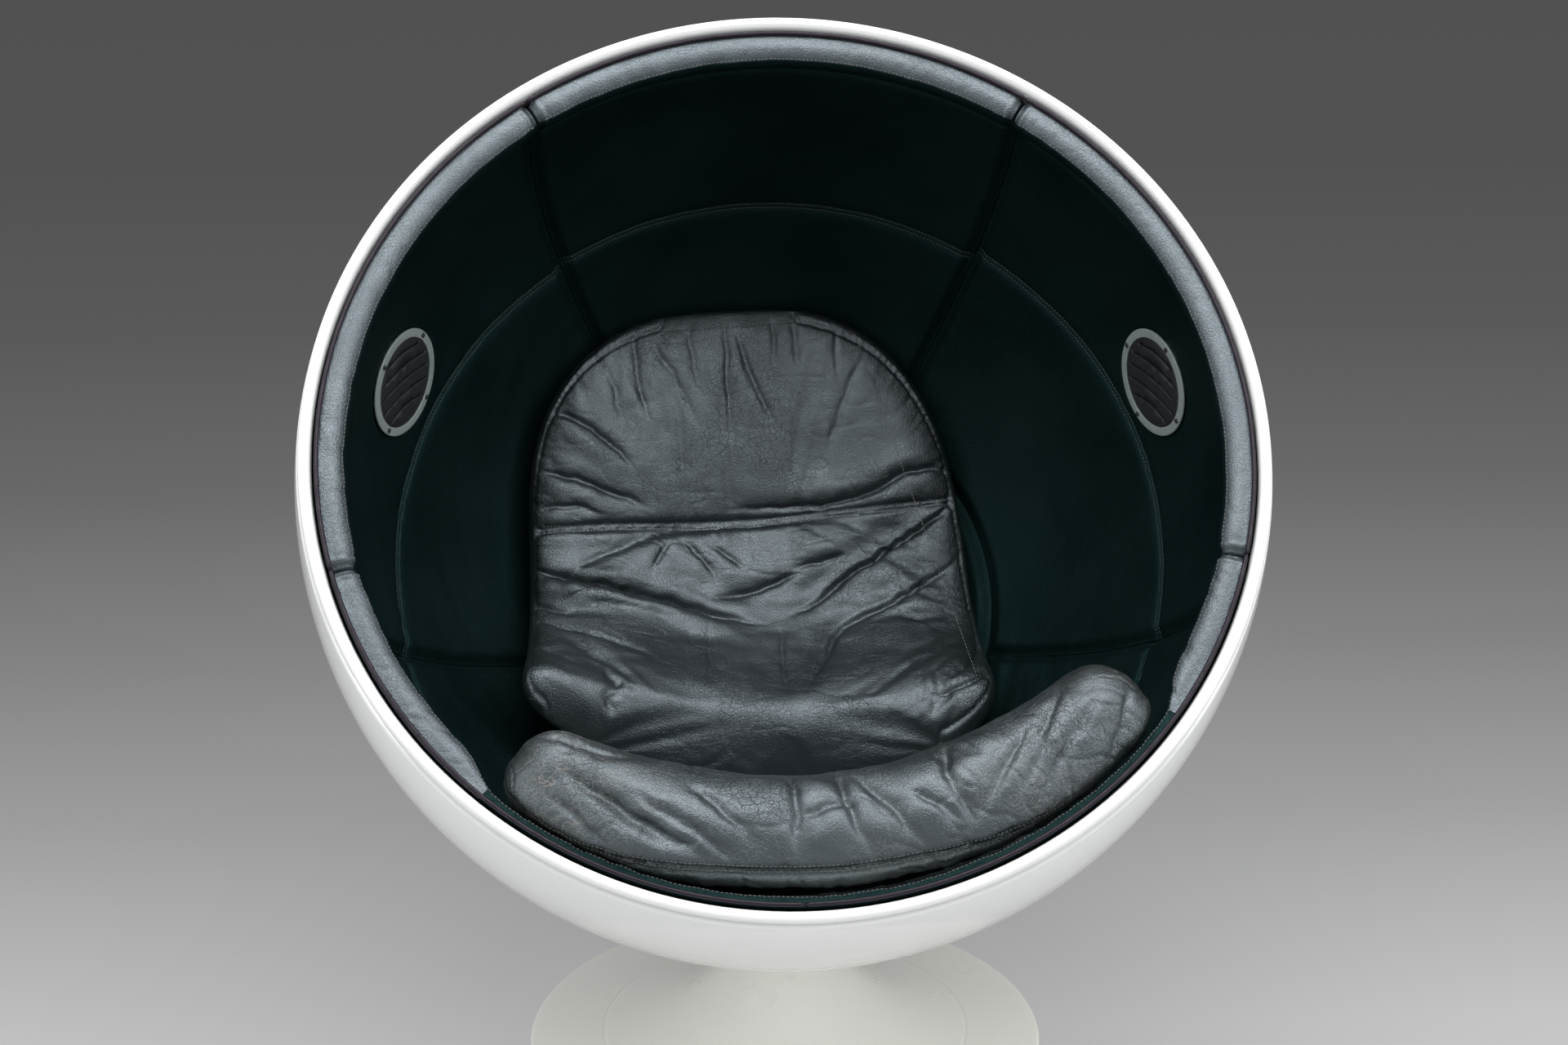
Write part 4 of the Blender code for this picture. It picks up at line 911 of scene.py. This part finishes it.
# Back cushion
RIDGE = degrees_path(CUSHION_MEAN, (-296, -24.0, -205, -22.8, -121, -22.4, -26, -21.7, 66, -20.5,
                                    158, -19.1, 245, -17.6))
TOP_CREASES = read_creases(CUSHION_MEAN, (
    (6.0, 4.2, 0.45, -169, 15, -163, 5.5, -145, -2.9),
    (4.2, 5.0, 0.45, -153, 13, -116, 6, -79, -5),
    (6.2, 4.0, 0.40, -52, 15, -51, 4, -45, -9),
    (7.2, 3.8, 0.50, -41, 13, -15, 4, 18, -5),
    (5.0, 3.5, 0.45, 8, 14, 10, 7),
    (5.2, 4.0, 0.45, 34, 14, 40, 6),
    (4.5, 4.0, 0.45, 90, 13, 90, 4),
    (4.2, 5.0, 0.40, 125, 9, 98, 2, 69, -12),
    (4.0, 4.5, 0.40, -100, 15, -92, 8, -85, 2),
    (3.5, 4.5, 0.40, -205, 9, -190, 3, -185, -2),
))
LOW_CREASES = read_creases(CUSHION_MEAN, (
    (6.0, 4.0, 0.50, -276, 1.5, -239, -0.4, -194, -6, -165, -12),
    (6.2, 4.5, 0.50, -290, -10.5, -259, -11.6, -208, -14.8, -140, -19.6),
    (4.0, 4.0, 0.40, -290, -19.0, -242, -18.3, -205, -21),
    (7.5, 4.6, 0.55, 240, -13, 197, -11.5, 158, -13.6, 114, -17.2, 43, -18.9, -80, -19.4),
    (3.0, 3.4, 0.40, -127, -25.5, -152, -33),
    (3.6, 3.4, 0.40, -109, -25.5, -80, -30.5, -65, -35),
    (3.0, 3.4, 0.40, -74, -26.7, -27, -32),
    (13.0, 4.6, 0.70, -300, -32.3, -255, -34.8, -189, -36.9, -119, -39, -66, -41.6, -10, -43.4, 12, -43.4),
    (12.5, 4.4, -0.75, 238, -18.8, 157, -26.7, 101, -32.6, 55, -38.5, 4, -43.4),
    (5.8, 5.0, 0.50, 34, -32.6, -33, -36.2, -85, -37.9),
    (5.0, 4.2, 0.50, 95, -28.2, 60, -30.2, 20, -31.8),
    (7.5, 5.0, -0.60, 236, -30.5, 152, -39.3, 88, -44.6, 56, -55.5, 31, -68),
    (6.5, 5.0, 0.50, 266, -46, 231, -61.4, 190, -70),
    (3.5, 5.0, 0.40, -297, -45, -253, -48.5, -165, -55, -140, -60),
    (2.6, 3.2, 0.30, 11, -43.5, 9, -55, 13, -70),
    (1.8, 3.2, 0.30, -80, -44, -82, -68),
    (4.0, 5.0, 0.45, 262, -64, 217, -70, 152, -72),
    (3.6, 4.6, 0.45, -302, -40, -270, -43, -235, -45.5),
    (3.2, 4.6, 0.45, -302, -56, -262, -60, -225, -67),
))


def cushion_betas(count):
    """Angles below the horizon from the cushion's foot to its top, closer together at both."""
    return CUSHION_FOOT + (CUSHION_TOP - CUSHION_FOOT) * (1 - np.cos(np.linspace(0, pi, count))) / 2


def cushion_rise(beta):
    return CUSHION_REACH * (beta - CUSHION_MIDDLE) / (CUSHION_TOP - CUSHION_MIDDLE)


def cushion_x(u, beta):
    v = cushion_rise(beta)
    power = 3.1 if v > 0 else 18.0 if u < 0 else 8.0
    wide = (1 - abs(v) ** power) ** (1 / power) * (1 - CUSHION_TAPER * (v + 1) / 2)
    return CUSHION_SHIFT + CUSHION_LEAN * ((v + 1) / 2) ** 2 + u * CUSHION_WIDTH / 2 * wide


def cushion_point(u, beta, side):
    v = cushion_rise(beta)
    x = cushion_x(u, beta)
    radius = BOWL - CUSHION_BACK - CUSHION_FORWARD * float(smooth_step((radians(-35) - beta) / radians(40)))
    power = 2.8 if v > 0 or side == "back" else 14.0
    edge = (1 - abs(u) ** 2.8) * (1 - min(abs(v) / CUSHION_REACH, 1.0) ** power)
    radius += (CUSHION_BACK - 0.002) * edge ** 0.3 if side == "back" else -CUSHION_CROWN * edge ** 0.55
    flat = sqrt(radius ** 2 - x ** 2)
    return (x, flat * cos(beta), flat * sin(beta))


def make_back_cushion():
    us = np.sin(np.linspace(-pi / 2, pi / 2, 60))
    sheets = [np.array([[cushion_point(u, b, side) for u in us] for b in cushion_betas(90)])
              for side in ("front", "back")]
    cushion = add_piece("back_cushion_leather", padded_sheet(*sheets), FINISH["cushion"], UPRIGHT, None)
    reshape(cushion, "REMESH", mode="VOXEL", voxel_size=0.0052)

    betas = cushion_betas(90)
    outline = np.array([(cushion_x(side, b), b * CUSHION_MEAN)
                        for side, run in ((1, betas), (-1, betas[::-1])) for b in run])
    ridge = polyline(RIDGE, 120)

    def unrolled():
        local = vertex_array(cushion.data) - np.array(CENTRE)
        places = np.stack([local[:, 0], np.arctan2(local[:, 2], local[:, 1]) * CUSHION_MEAN], axis=1)
        return local, places, path_distance(places, outline)[0], *path_distance(places, ridge)

    local, places, to_edge, to_ridge, _ = unrolled()
    front = np.linalg.norm(local, axis=1) < BOWL - 0.030
    held = np.maximum(1 - smooth_step(to_edge / 0.010), (1 - smooth_step(to_ridge / 0.006)) * front)
    held = np.maximum(held, 0.9 * ~front)
    corner = smooth_step((np.abs(places[:, 0]) - 0.19) / 0.05) * smooth_step((-places[:, 1] - 0.40) / 0.05)
    swell(cushion, 0.016, np.maximum(held, 0.85 * corner))
    reshape(cushion, "SUBSURF", levels=1, render_levels=1)

    local, places, to_edge, to_ridge, signed = unrolled()
    x, s = places.T
    normals = vertex_array(cushion.data, "normal")
    centreward = -local / np.linalg.norm(local, axis=1)[:, None]
    facing = smooth_step(np.sum(normals * centreward, axis=1) / 0.35)
    height = 0.5 * crease_height(places, TOP_CREASES) + crease_height(places, LOW_CREASES, 1.1)
    height *= smooth_step(to_edge / 0.012 + 0.2)
    height += 0.0018 * flat_noise(x, s, 0.060, 71) + 0.0007 * flat_noise(x, s, 0.022, 72)
    height += 0.0009 * flat_noise(x, s * 0.22, 0.021, 78) * smooth_step((s - 0.005) / 0.09)
    height += 0.0008 * flat_noise(x * 0.24 + s * 0.1, s, 0.019, 79) * smooth_step((-0.06 - s) / 0.08)
    rubbed = smooth_step(flat_noise(x, s, 0.09, 74) + 0.5)
    height -= 0.0007 * fine_folds(x * 0.5 + s * 0.2, s, 0.014, 73, 0.25) * rubbed
    height += seam_puckers(x, to_ridge, 0.016, 75) + seam_relief(signed, CUSHION_SEAM)
    gathered = 0.3 + 1.2 * smooth_step((s + 0.36) / 0.05)
    height += gathered * seam_puckers(np.arctan2(s + 0.2, x) * 0.33, np.abs(to_edge - 0.008), 0.020, 77)
    height += 0.0016 * groove(to_edge - 0.0040, 0.0030) - 0.0024 * groove(to_edge - 0.0085, 0.0018)
    set_in_bowl(cushion.data, vertex_array(cushion.data) + normals * (height * facing)[:, None])
    settle(cushion, "ball", "back_cushion")

    def stitch(name, path):
        rays = [(CENTRE, (x, cos(s / CUSHION_MEAN) * sqrt(CUSHION_MEAN ** 2 - x ** 2),
                          sin(s / CUSHION_MEAN) * sqrt(CUSHION_MEAN ** 2 - x ** 2))) for x, s in path]
        add_stitches(name, *surface_path(cushion, rays))

    stitch("back_cushion_topstitch", (outline - outward_normals(outline) * 0.0085)[8:172])
    for index, offset in enumerate((-CUSHION_SEAM[4], CUSHION_SEAM[5])):
        stitch(f"back_cushion_seam_stitches_{index + 1}", ridge[3:-3] + np.array([0.0, offset]))


# Seat's front roll
ROLL_LINE = degrees_path(ROLL_GIRTH, (-345, 32, -300, 29, -255, 32, -199, 39, -125, 46, -37, 48, 53, 46,
                                      129, 38, 200, 30, 262, 26, 320, 26, 345, 30))
ROLL_CREASES = read_creases(ROLL_GIRTH, (
    (5.0, 4.6, 0.45, -52, 160, -48, 94, -44, 50),
    (6.2, 5.5, 0.55, -300, 100, -242, 82, -174, 63, -132, 50),
    (5.8, 5.5, 0.55, -262, 92, -210, 78, -160, 65, -105, 50),
    (5.0, 5.0, 0.50, -215, 98, -143, 75, -85, 52),
    (4.6, 5.0, 0.50, -165, 122, -105, 86, -66, 55),
    (4.5, 4.6, 0.50, -290, 66, -245, 54, -205, 44),
    (5.5, 4.6, 0.50, 0, 158, 6, 104, 17, 66, 34, 46),
    (5.6, 5.0, 0.50, 14, 145, 53, 84, 74, 44),
    (4.6, 4.6, 0.45, 129, 155, 111, 99, 127, 50),
    (4.0, 4.2, 0.45, 66, 106, 116, 62),
    (4.2, 4.4, 0.45, -50, 94, -10, 104, 28, 106),
    (5.2, 5.5, 0.50, 222, 124, 143, 80, 104, 44),
    (5.0, 5.5, 0.50, 296, 104, 224, 76, 168, 44),
    (4.0, 5.0, 0.45, 270, 140, 235, 112, 180, 92),
    (3.8, 4.6, 0.45, 330, 84, 285, 60, 250, 36),
    (3.6, 4.6, 0.40, -335, 120, -285, 128, -215, 140),
    (3.4, 4.4, 0.40, 165, 66, 205, 88, 230, 118),
))


def front_roll_point(turn, angle, size, inset=0.0):
    """A point of the crescent in the opening frame; angle 0 faces the rim, 90 the mouth."""
    share = np.minimum(np.abs(turn) / ROLL_SWEEP, 1.0)
    high, wide = ((full - FRONT_ROLL_THIN * share ** 3) * size - inset
                  for full in (FRONT_ROLL_HEIGHT, FRONT_ROLL_THICK))
    rho = ROLL_BEND + high * np.cos(angle)
    x = rho * np.sin(turn)
    y = ROLL_LIFT - rho * np.cos(turn)
    c, s = cos(FRONT_ROLL_TURN), sin(FRONT_ROLL_TURN)
    z = FRONT_ROLL_OUT + FRONT_ROLL_RISE * share ** 2 + wide * np.sin(angle)
    return np.stack([x * c - y * s, x * s + y * c, z], axis=-1)


def front_roll_places(points):
    """Metres along the crescent and round its section, for points of the object."""
    x, y, z = in_frame(points, OPENING.inverted()).T
    c, s = cos(FRONT_ROLL_TURN), sin(FRONT_ROLL_TURN)
    x, y = x * c + y * s, y * c - x * s - ROLL_LIFT
    turn = np.arctan2(y, x) + pi / 2
    share = np.minimum(np.abs(turn) / ROLL_SWEEP, 1.0)
    angle = np.arctan2(z - FRONT_ROLL_OUT - FRONT_ROLL_RISE * share ** 2, np.hypot(x, y) - ROLL_BEND)
    return np.stack([turn * ROLL_BEND, angle * ROLL_GIRTH], axis=1)


def make_front_roll():
    cap = FRONT_ROLL_CAP / ROLL_BEND
    ends = np.radians(np.linspace(3, 84, 14))
    turns = np.concatenate([-ROLL_SWEEP - cap * np.cos(ends), np.linspace(-ROLL_SWEEP, ROLL_SWEEP, 100),
                            ROLL_SWEEP + cap * np.cos(ends[::-1])])
    full = (1 - np.cos(ends) ** 2.5) ** 0.4
    angles = full_turn(60)
    inset = 0.0045 - 0.0095 * groove(angles - 0.68, 0.30)
    rings = [front_roll_point(turn, angles, size, inset * size)
             for turn, size in zip(turns, np.concatenate([full, np.ones(100), full[::-1]]))]
    roll = add_piece("seat_front_roll_leather", loft(rings), FINISH["front"], OPENING, None)
    reshape(roll, "REMESH", mode="VOXEL", voxel_size=0.0048)
    seam = polyline(ROLL_LINE, 160)
    to_seam, _ = path_distance(front_roll_places(vertex_array(roll.data)), seam)
    swell(roll, 0.010, 1 - smooth_step(to_seam / 0.006))
    reshape(roll, "SUBSURF", levels=1, render_levels=1)

    places = front_roll_places(vertex_array(roll.data))
    x, s = places.T
    to_seam, signed = path_distance(places, seam)
    height = crease_height(places, ROLL_CREASES, 1.4, 0.0)
    height += 0.0014 * flat_noise(x, s, 0.050, 81) + 0.0006 * flat_noise(x, s, 0.018, 82)
    folds = flat_noise(x * 0.8 + np.sign(x + 0.03) * s * 0.9, s * 0.25, 0.022, 86)
    height += 0.0010 * folds * smooth_step((s - 0.05) / 0.03)
    rubbed = smooth_step(flat_noise(x, s, 0.07, 84) + 0.6)
    height -= 0.0012 * fine_folds(x + s * 0.4, s * 0.6, 0.017, 83, 0.22) * rubbed
    height += 1.8 * seam_puckers(x, to_seam, 0.018, 85) + seam_relief(signed, ROLL_SEAM)
    hem = signed + 0.0215 + 0.0022 * flat_noise(x, 0.0, 0.045, 87)
    under = (s > -0.03) & (signed < 0)
    tucked = 0.0105 * smooth_step(-hem / 0.007) - 0.0012 * groove(hem - 0.004, 0.004)
    height += (2.6 * seam_puckers(x, np.abs(hem), 0.012, 88) - tucked) * under
    set_vertices(roll.data, vertex_array(roll.data) + vertex_array(roll.data, "normal") * height[:, None])

    # Faces below the seam on the front of the roll take the band leather, whose lighter colour is painted bounce
    # light.
    roll.data.materials.append(FINISH["band_painted_light"])
    centres = np.zeros(len(roll.data.polygons) * 3)
    roll.data.polygons.foreach_get("center", centres)
    spots = front_roll_places(centres.reshape(-1, 3))
    below = (path_distance(spots, seam)[1] < -0.001) & (spots[:, 1] > -0.045)
    roll.data.polygons.foreach_set("material_index", below.astype(np.int32))
    settle(roll, "ball", "seat_front_roll")
    for index, offset in enumerate((-ROLL_SEAM[4], ROLL_SEAM[5])):
        rays = []
        for along, girth in seam[10:-10] + np.array([0.0, offset]):
            inside, outside = (in_frame(front_roll_point(along / ROLL_BEND, angle, size), OPENING)
                               for angle, size in ((0.0, 0.0), (girth / ROLL_GIRTH, 3.0)))
            rays.append((outside, inside - outside))
        add_stitches(f"seat_front_roll_stitches_{index + 1}", *surface_path(roll, rays))


# Seat cushion
def seat_ring(reach, rise):
    """One ring of the pad, a share of its size across, at a height above the bowl."""
    turns = full_turn(96)
    across, along = (np.copysign(np.abs(wave) ** 0.6, wave) * reach for wave in (np.cos(turns), np.sin(turns)))
    x = across * SEAT_WIDTH / 2
    y = along * SEAT_LENGTH / 2 + SEAT_MIDDLE_Y
    return np.stack([x, y, -np.sqrt(BOWL ** 2 - x ** 2 - y ** 2)], axis=1) * (BOWL - rise) / BOWL


def make_seat_cushion():
    rings = [seat_ring(r, SEAT_EDGE + (SEAT_THICKNESS - SEAT_EDGE) * (1 - r ** 3.5) ** 0.7)
             for r in np.sin(np.linspace(0.02, pi / 2, 34))]
    rings += [seat_ring(r, 0.0) for r in np.sin(np.linspace(pi / 2 - 0.12, 0.02, 30))]
    pad = add_piece("seat_cushion_leather", loft(rings), FINISH["cushion"], UPRIGHT, None)
    turns = np.linspace(-ROLL_SWEEP - 0.1, ROLL_SWEEP + 0.1, 40)
    room = [front_roll_point(turn, full_turn(40), 1.0, -0.0015) for turn in turns]
    cut_away(pad, loft(room), OPENING)
    reshape(pad, "REMESH", mode="VOXEL", voxel_size=0.0065)
    resting = np.linalg.norm(vertex_array(pad.data) - np.array(CENTRE), axis=1) > BOWL - 0.006
    swell(pad, 0.006, 0.95 * resting, 2.0)
    reshape(pad, "SUBSURF", levels=1, render_levels=1)
    points = vertex_array(pad.data)
    x, y, _ = points.T
    height = 0.0012 * flat_noise(x, y, 0.05, 91) + 0.0007 * flat_noise(x, y, 0.02, 92)
    height -= 0.0012 * fine_folds(x, y * 0.5, 0.02, 93, 0.25)
    set_in_bowl(pad.data, points + vertex_array(pad.data, "normal") * height[:, None])
    settle(pad, "ball", "seat_cushion")


# Speakers
def grille_slot(offset, mirror):
    """One curved slot as a bent bar, to cut through the grille."""
    reach = sqrt((SPEAKER_WELL - 0.006) ** 2 - offset ** 2)
    share = np.linspace(-1, 1, 15)
    c, s = cos(SLOT_TURN * mirror), sin(SLOT_TURN * mirror)
    rings = []
    for x, middle in zip(reach * share, offset + SLOT_BOW * (1 - share ** 2)):
        ring = [(middle + w * SLOT_WIDTH / 2, h * 0.01) for w, h in ((-1, -1), (1, -1), (1, 1), (-1, 1))]
        rings.append([(x * c - y * s, x * s + y * c, z) for y, z in ring])
    return loft(rings)


def make_speaker(side):
    axis = OPENING @ speaker_axis(side)
    well, low, high = SPEAKER_WELL, RING_LOW, RING_HIGH

    def add_round(part, outline, steps, finish, place=axis, body="ball"):
        name = f"{side}_speaker_{part}"
        return add_piece(name + "_fine", turned(outline, steps), FINISH[finish], place, body, name)

    ring = [(well, low), (SPEAKER_RADIUS - 0.0004, low), (SPEAKER_RADIUS, low + 0.0004),
            (SPEAKER_RADIUS, high - 0.0012)]
    ring += arc(0.0012, pi / 2, 0.0, 5, (SPEAKER_RADIUS - 0.0012, high - 0.0012))
    ring += arc(0.0008, 0.0, -pi / 2, 4, (well + 0.0008, high - 0.0008))
    add_round("ring", ring, 96, "speaker_grey")

    top = low + 0.0015
    dome = [(0.0, low), (well - 0.0003, low), (well - 0.0003, top - 0.0004)]
    dome += [(r, top + 0.0007 * (1 - (r / well) ** 2)) for r in (well - 0.0008, 0.045, 0.034, 0.022, 0.011)]
    grille = add_round("grille", dome + [(0.0, top + 0.0007)], 80, "speaker_black", body=None)
    for row in (-2, -1, 0, 1, 2):
        cut_away(grille, grille_slot(row * SLOT_PITCH, 1 if side == "right" else -1), axis)
    settle(grille, "ball", f"{side}_speaker_grille")

    head = high + 0.0003
    screw = [(0.0, -0.0108), (0.0014, -0.0102), (0.0016, -0.0090), (0.0016, head), (0.0029, head),
             (0.0029, head + 0.0005), (0.0025, head + 0.0012), (0.0018, head + 0.0016),
             (0.0009, head + 0.0017), (0.0007, head + 0.0009), (0.0, head + 0.0008)]
    for i in range(4):
        angle = SCREW_TURN + tau * i / 4
        place = axis @ Matrix.Translation((SCREW_CIRCLE * cos(angle), SCREW_CIRCLE * sin(angle), 0))
        add_round(f"screw_{i + 1}", screw, 20, "speaker_black", place)


# Carried-over solids
def finish_solids():
    """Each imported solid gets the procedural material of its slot."""
    slots = {part["node"]: part["material_slot"] for part in frame["record"]["subparts"]}
    for name, solid in frame["nodes"].items():
        solid.data.materials.clear()
        solid.data.materials.append(FINISH[slots[name]])


# Studio
EYE = CENTRE + Vector((-0.1162, -2.2727, 0.5864))
SIGHT = Vector((0.04945, 0.96256, -0.26652)).normalized()
CAMERA_ROLL = radians(-0.153)
LENS = 48.99
FLOOR_REACH = 60.0
FLOOR_TONES = ((-1.5, 0.56), (0.0, 0.52), (0.26, 0.45), (0.66, 0.345), (1.4, 0.240), (2.6, 0.160),
               (4.7, 0.120), (9.7, 0.102), (40.0, 0.096))
FLOOR_CURVE = 0.4
FLOOR_GLOW = 0.93
FLOOR_SHARE = 0.7


def make_floor():
    """A large pale floor that falls off into grey behind the chair; the camera sees its tone
    mostly as written, with a part lit so that the chair's shadow stays."""
    finish = Finish("floor", 0.9, "studio_floor", Specular_IOR_Level=0.1)
    depth = finish.node("SeparateXYZ", {0: finish.place}).outputs[1]
    lowest, highest = FLOOR_TONES[0][0], FLOOR_TONES[-1][0]
    ramp = finish.node("ValToRGB", {0: finish.math("POWER", finish.ranged(depth, lowest, highest), FLOOR_CURVE)})
    for _ in FLOOR_TONES[2:]:
        ramp.color_ramp.elements.new(0.5)
    for stop, (place, tone) in zip(ramp.color_ramp.elements, FLOOR_TONES):
        stop.position = ((place - lowest) / (highest - lowest)) ** FLOOR_CURVE
        stop.color = (tone, tone, tone * 1.005, 1.0)
    finish.dress(Base_Color=ramp.outputs[0])
    rays = finish.node("LightPath", {}).outputs
    seen = finish.math("MAXIMUM", rays["Is Camera Ray"], rays["Is Glossy Ray"])
    seen = finish.math("MAXIMUM", seen, rays["Is Transmission Ray"])
    glow = finish.node("Emission", {"Color": ramp.outputs[0], "Strength": FLOOR_GLOW}).outputs[0]
    mixed = finish.node("MixShader", {0: finish.math("MULTIPLY", seen, FLOOR_SHARE), 1: finish.shader.outputs[0],
                                      2: glow})
    finish.feed(finish.tree.nodes["Material Output"].inputs["Surface"], mixed.outputs[0])
    data = bpy.data.meshes.new("floor")
    data.from_pydata([(x * FLOOR_REACH, y * FLOOR_REACH, 0) for x, y in ((-1, -1), (1, -1), (1, 1), (-1, 1))],
                     [], [(0, 1, 2, 3)])
    data.materials.append(finish.material)
    linked("floor", data)


def add_light(name, place, size, strength):
    """A soft rectangle of light; strength is its brightness where 1 looks white."""
    lamp = bpy.data.lights.new(name, "AREA")
    lamp.shape = "RECTANGLE"
    lamp.size, lamp.size_y = size
    lamp.energy = strength * pi * size[0] * size[1]
    made = linked(name, lamp)
    made.location = place
    made.rotation_euler = (CENTRE - Vector(place)).to_track_quat("-Z", "Y").to_euler()


def make_studio():
    scene = bpy.context.scene
    scene.view_settings.view_transform = "Standard"
    scene.world = bpy.data.worlds.new("studio")
    scene.world.use_nodes = True
    background = scene.world.node_tree.nodes["Background"].inputs
    background["Color"].default_value = (0.46, 0.462, 0.465, 1.0)
    background["Strength"].default_value = 1.0
    add_light("overhead", (0.0, -0.8, 2.9), (2.4, 1.4), 5.6)
    add_light("overhead_back", (0.1, 0.4, 3.0), (1.8, 0.8), 3.4)
    for side, name in ((-1, "left"), (1, "right")):
        add_light(name + "_high", (side * 1.7, -1.2, 2.6), (1.2, 1.2), 3.0 + side * 0.6)
        add_light(name + "_box", (side * 2.5, -2.2, 1.9), (1.3, 1.3), 2.5 + side * 0.5)
        add_light(name + "_low", (side * 2.9, -1.6, 0.8), (0.9, 1.0), 6.0)
    add_light("front_low", (0.0, -3.4, 0.5), (2.8, 0.7), 1.0)
    data = bpy.data.cameras.new("photo_view")
    data.sensor_width = 36.0
    data.lens = LENS
    camera = linked("photo_view", data)
    right = SIGHT.cross(Vector((0, 0, 1))).normalized()
    up = right.cross(SIGHT)
    c, s = cos(CAMERA_ROLL), sin(CAMERA_ROLL)
    turn = Matrix((right * c + up * s, up * c - right * s, -SIGHT)).transposed().to_4x4()
    camera.matrix_world = Matrix.Translation(EYE) @ turn
    scene.camera = camera


def main():
    make_studio()
    make_floor()
    finish_solids()
    make_shell()
    make_foot()
    for side in SPANS:
        make_panel(side)
    make_disc()
    make_rim()
    for side in SPEAKER_PLACES:
        make_speaker(side)
    make_back_cushion()
    make_front_roll()
    make_seat_cushion()


main()
bpy.context.view_layer.update()
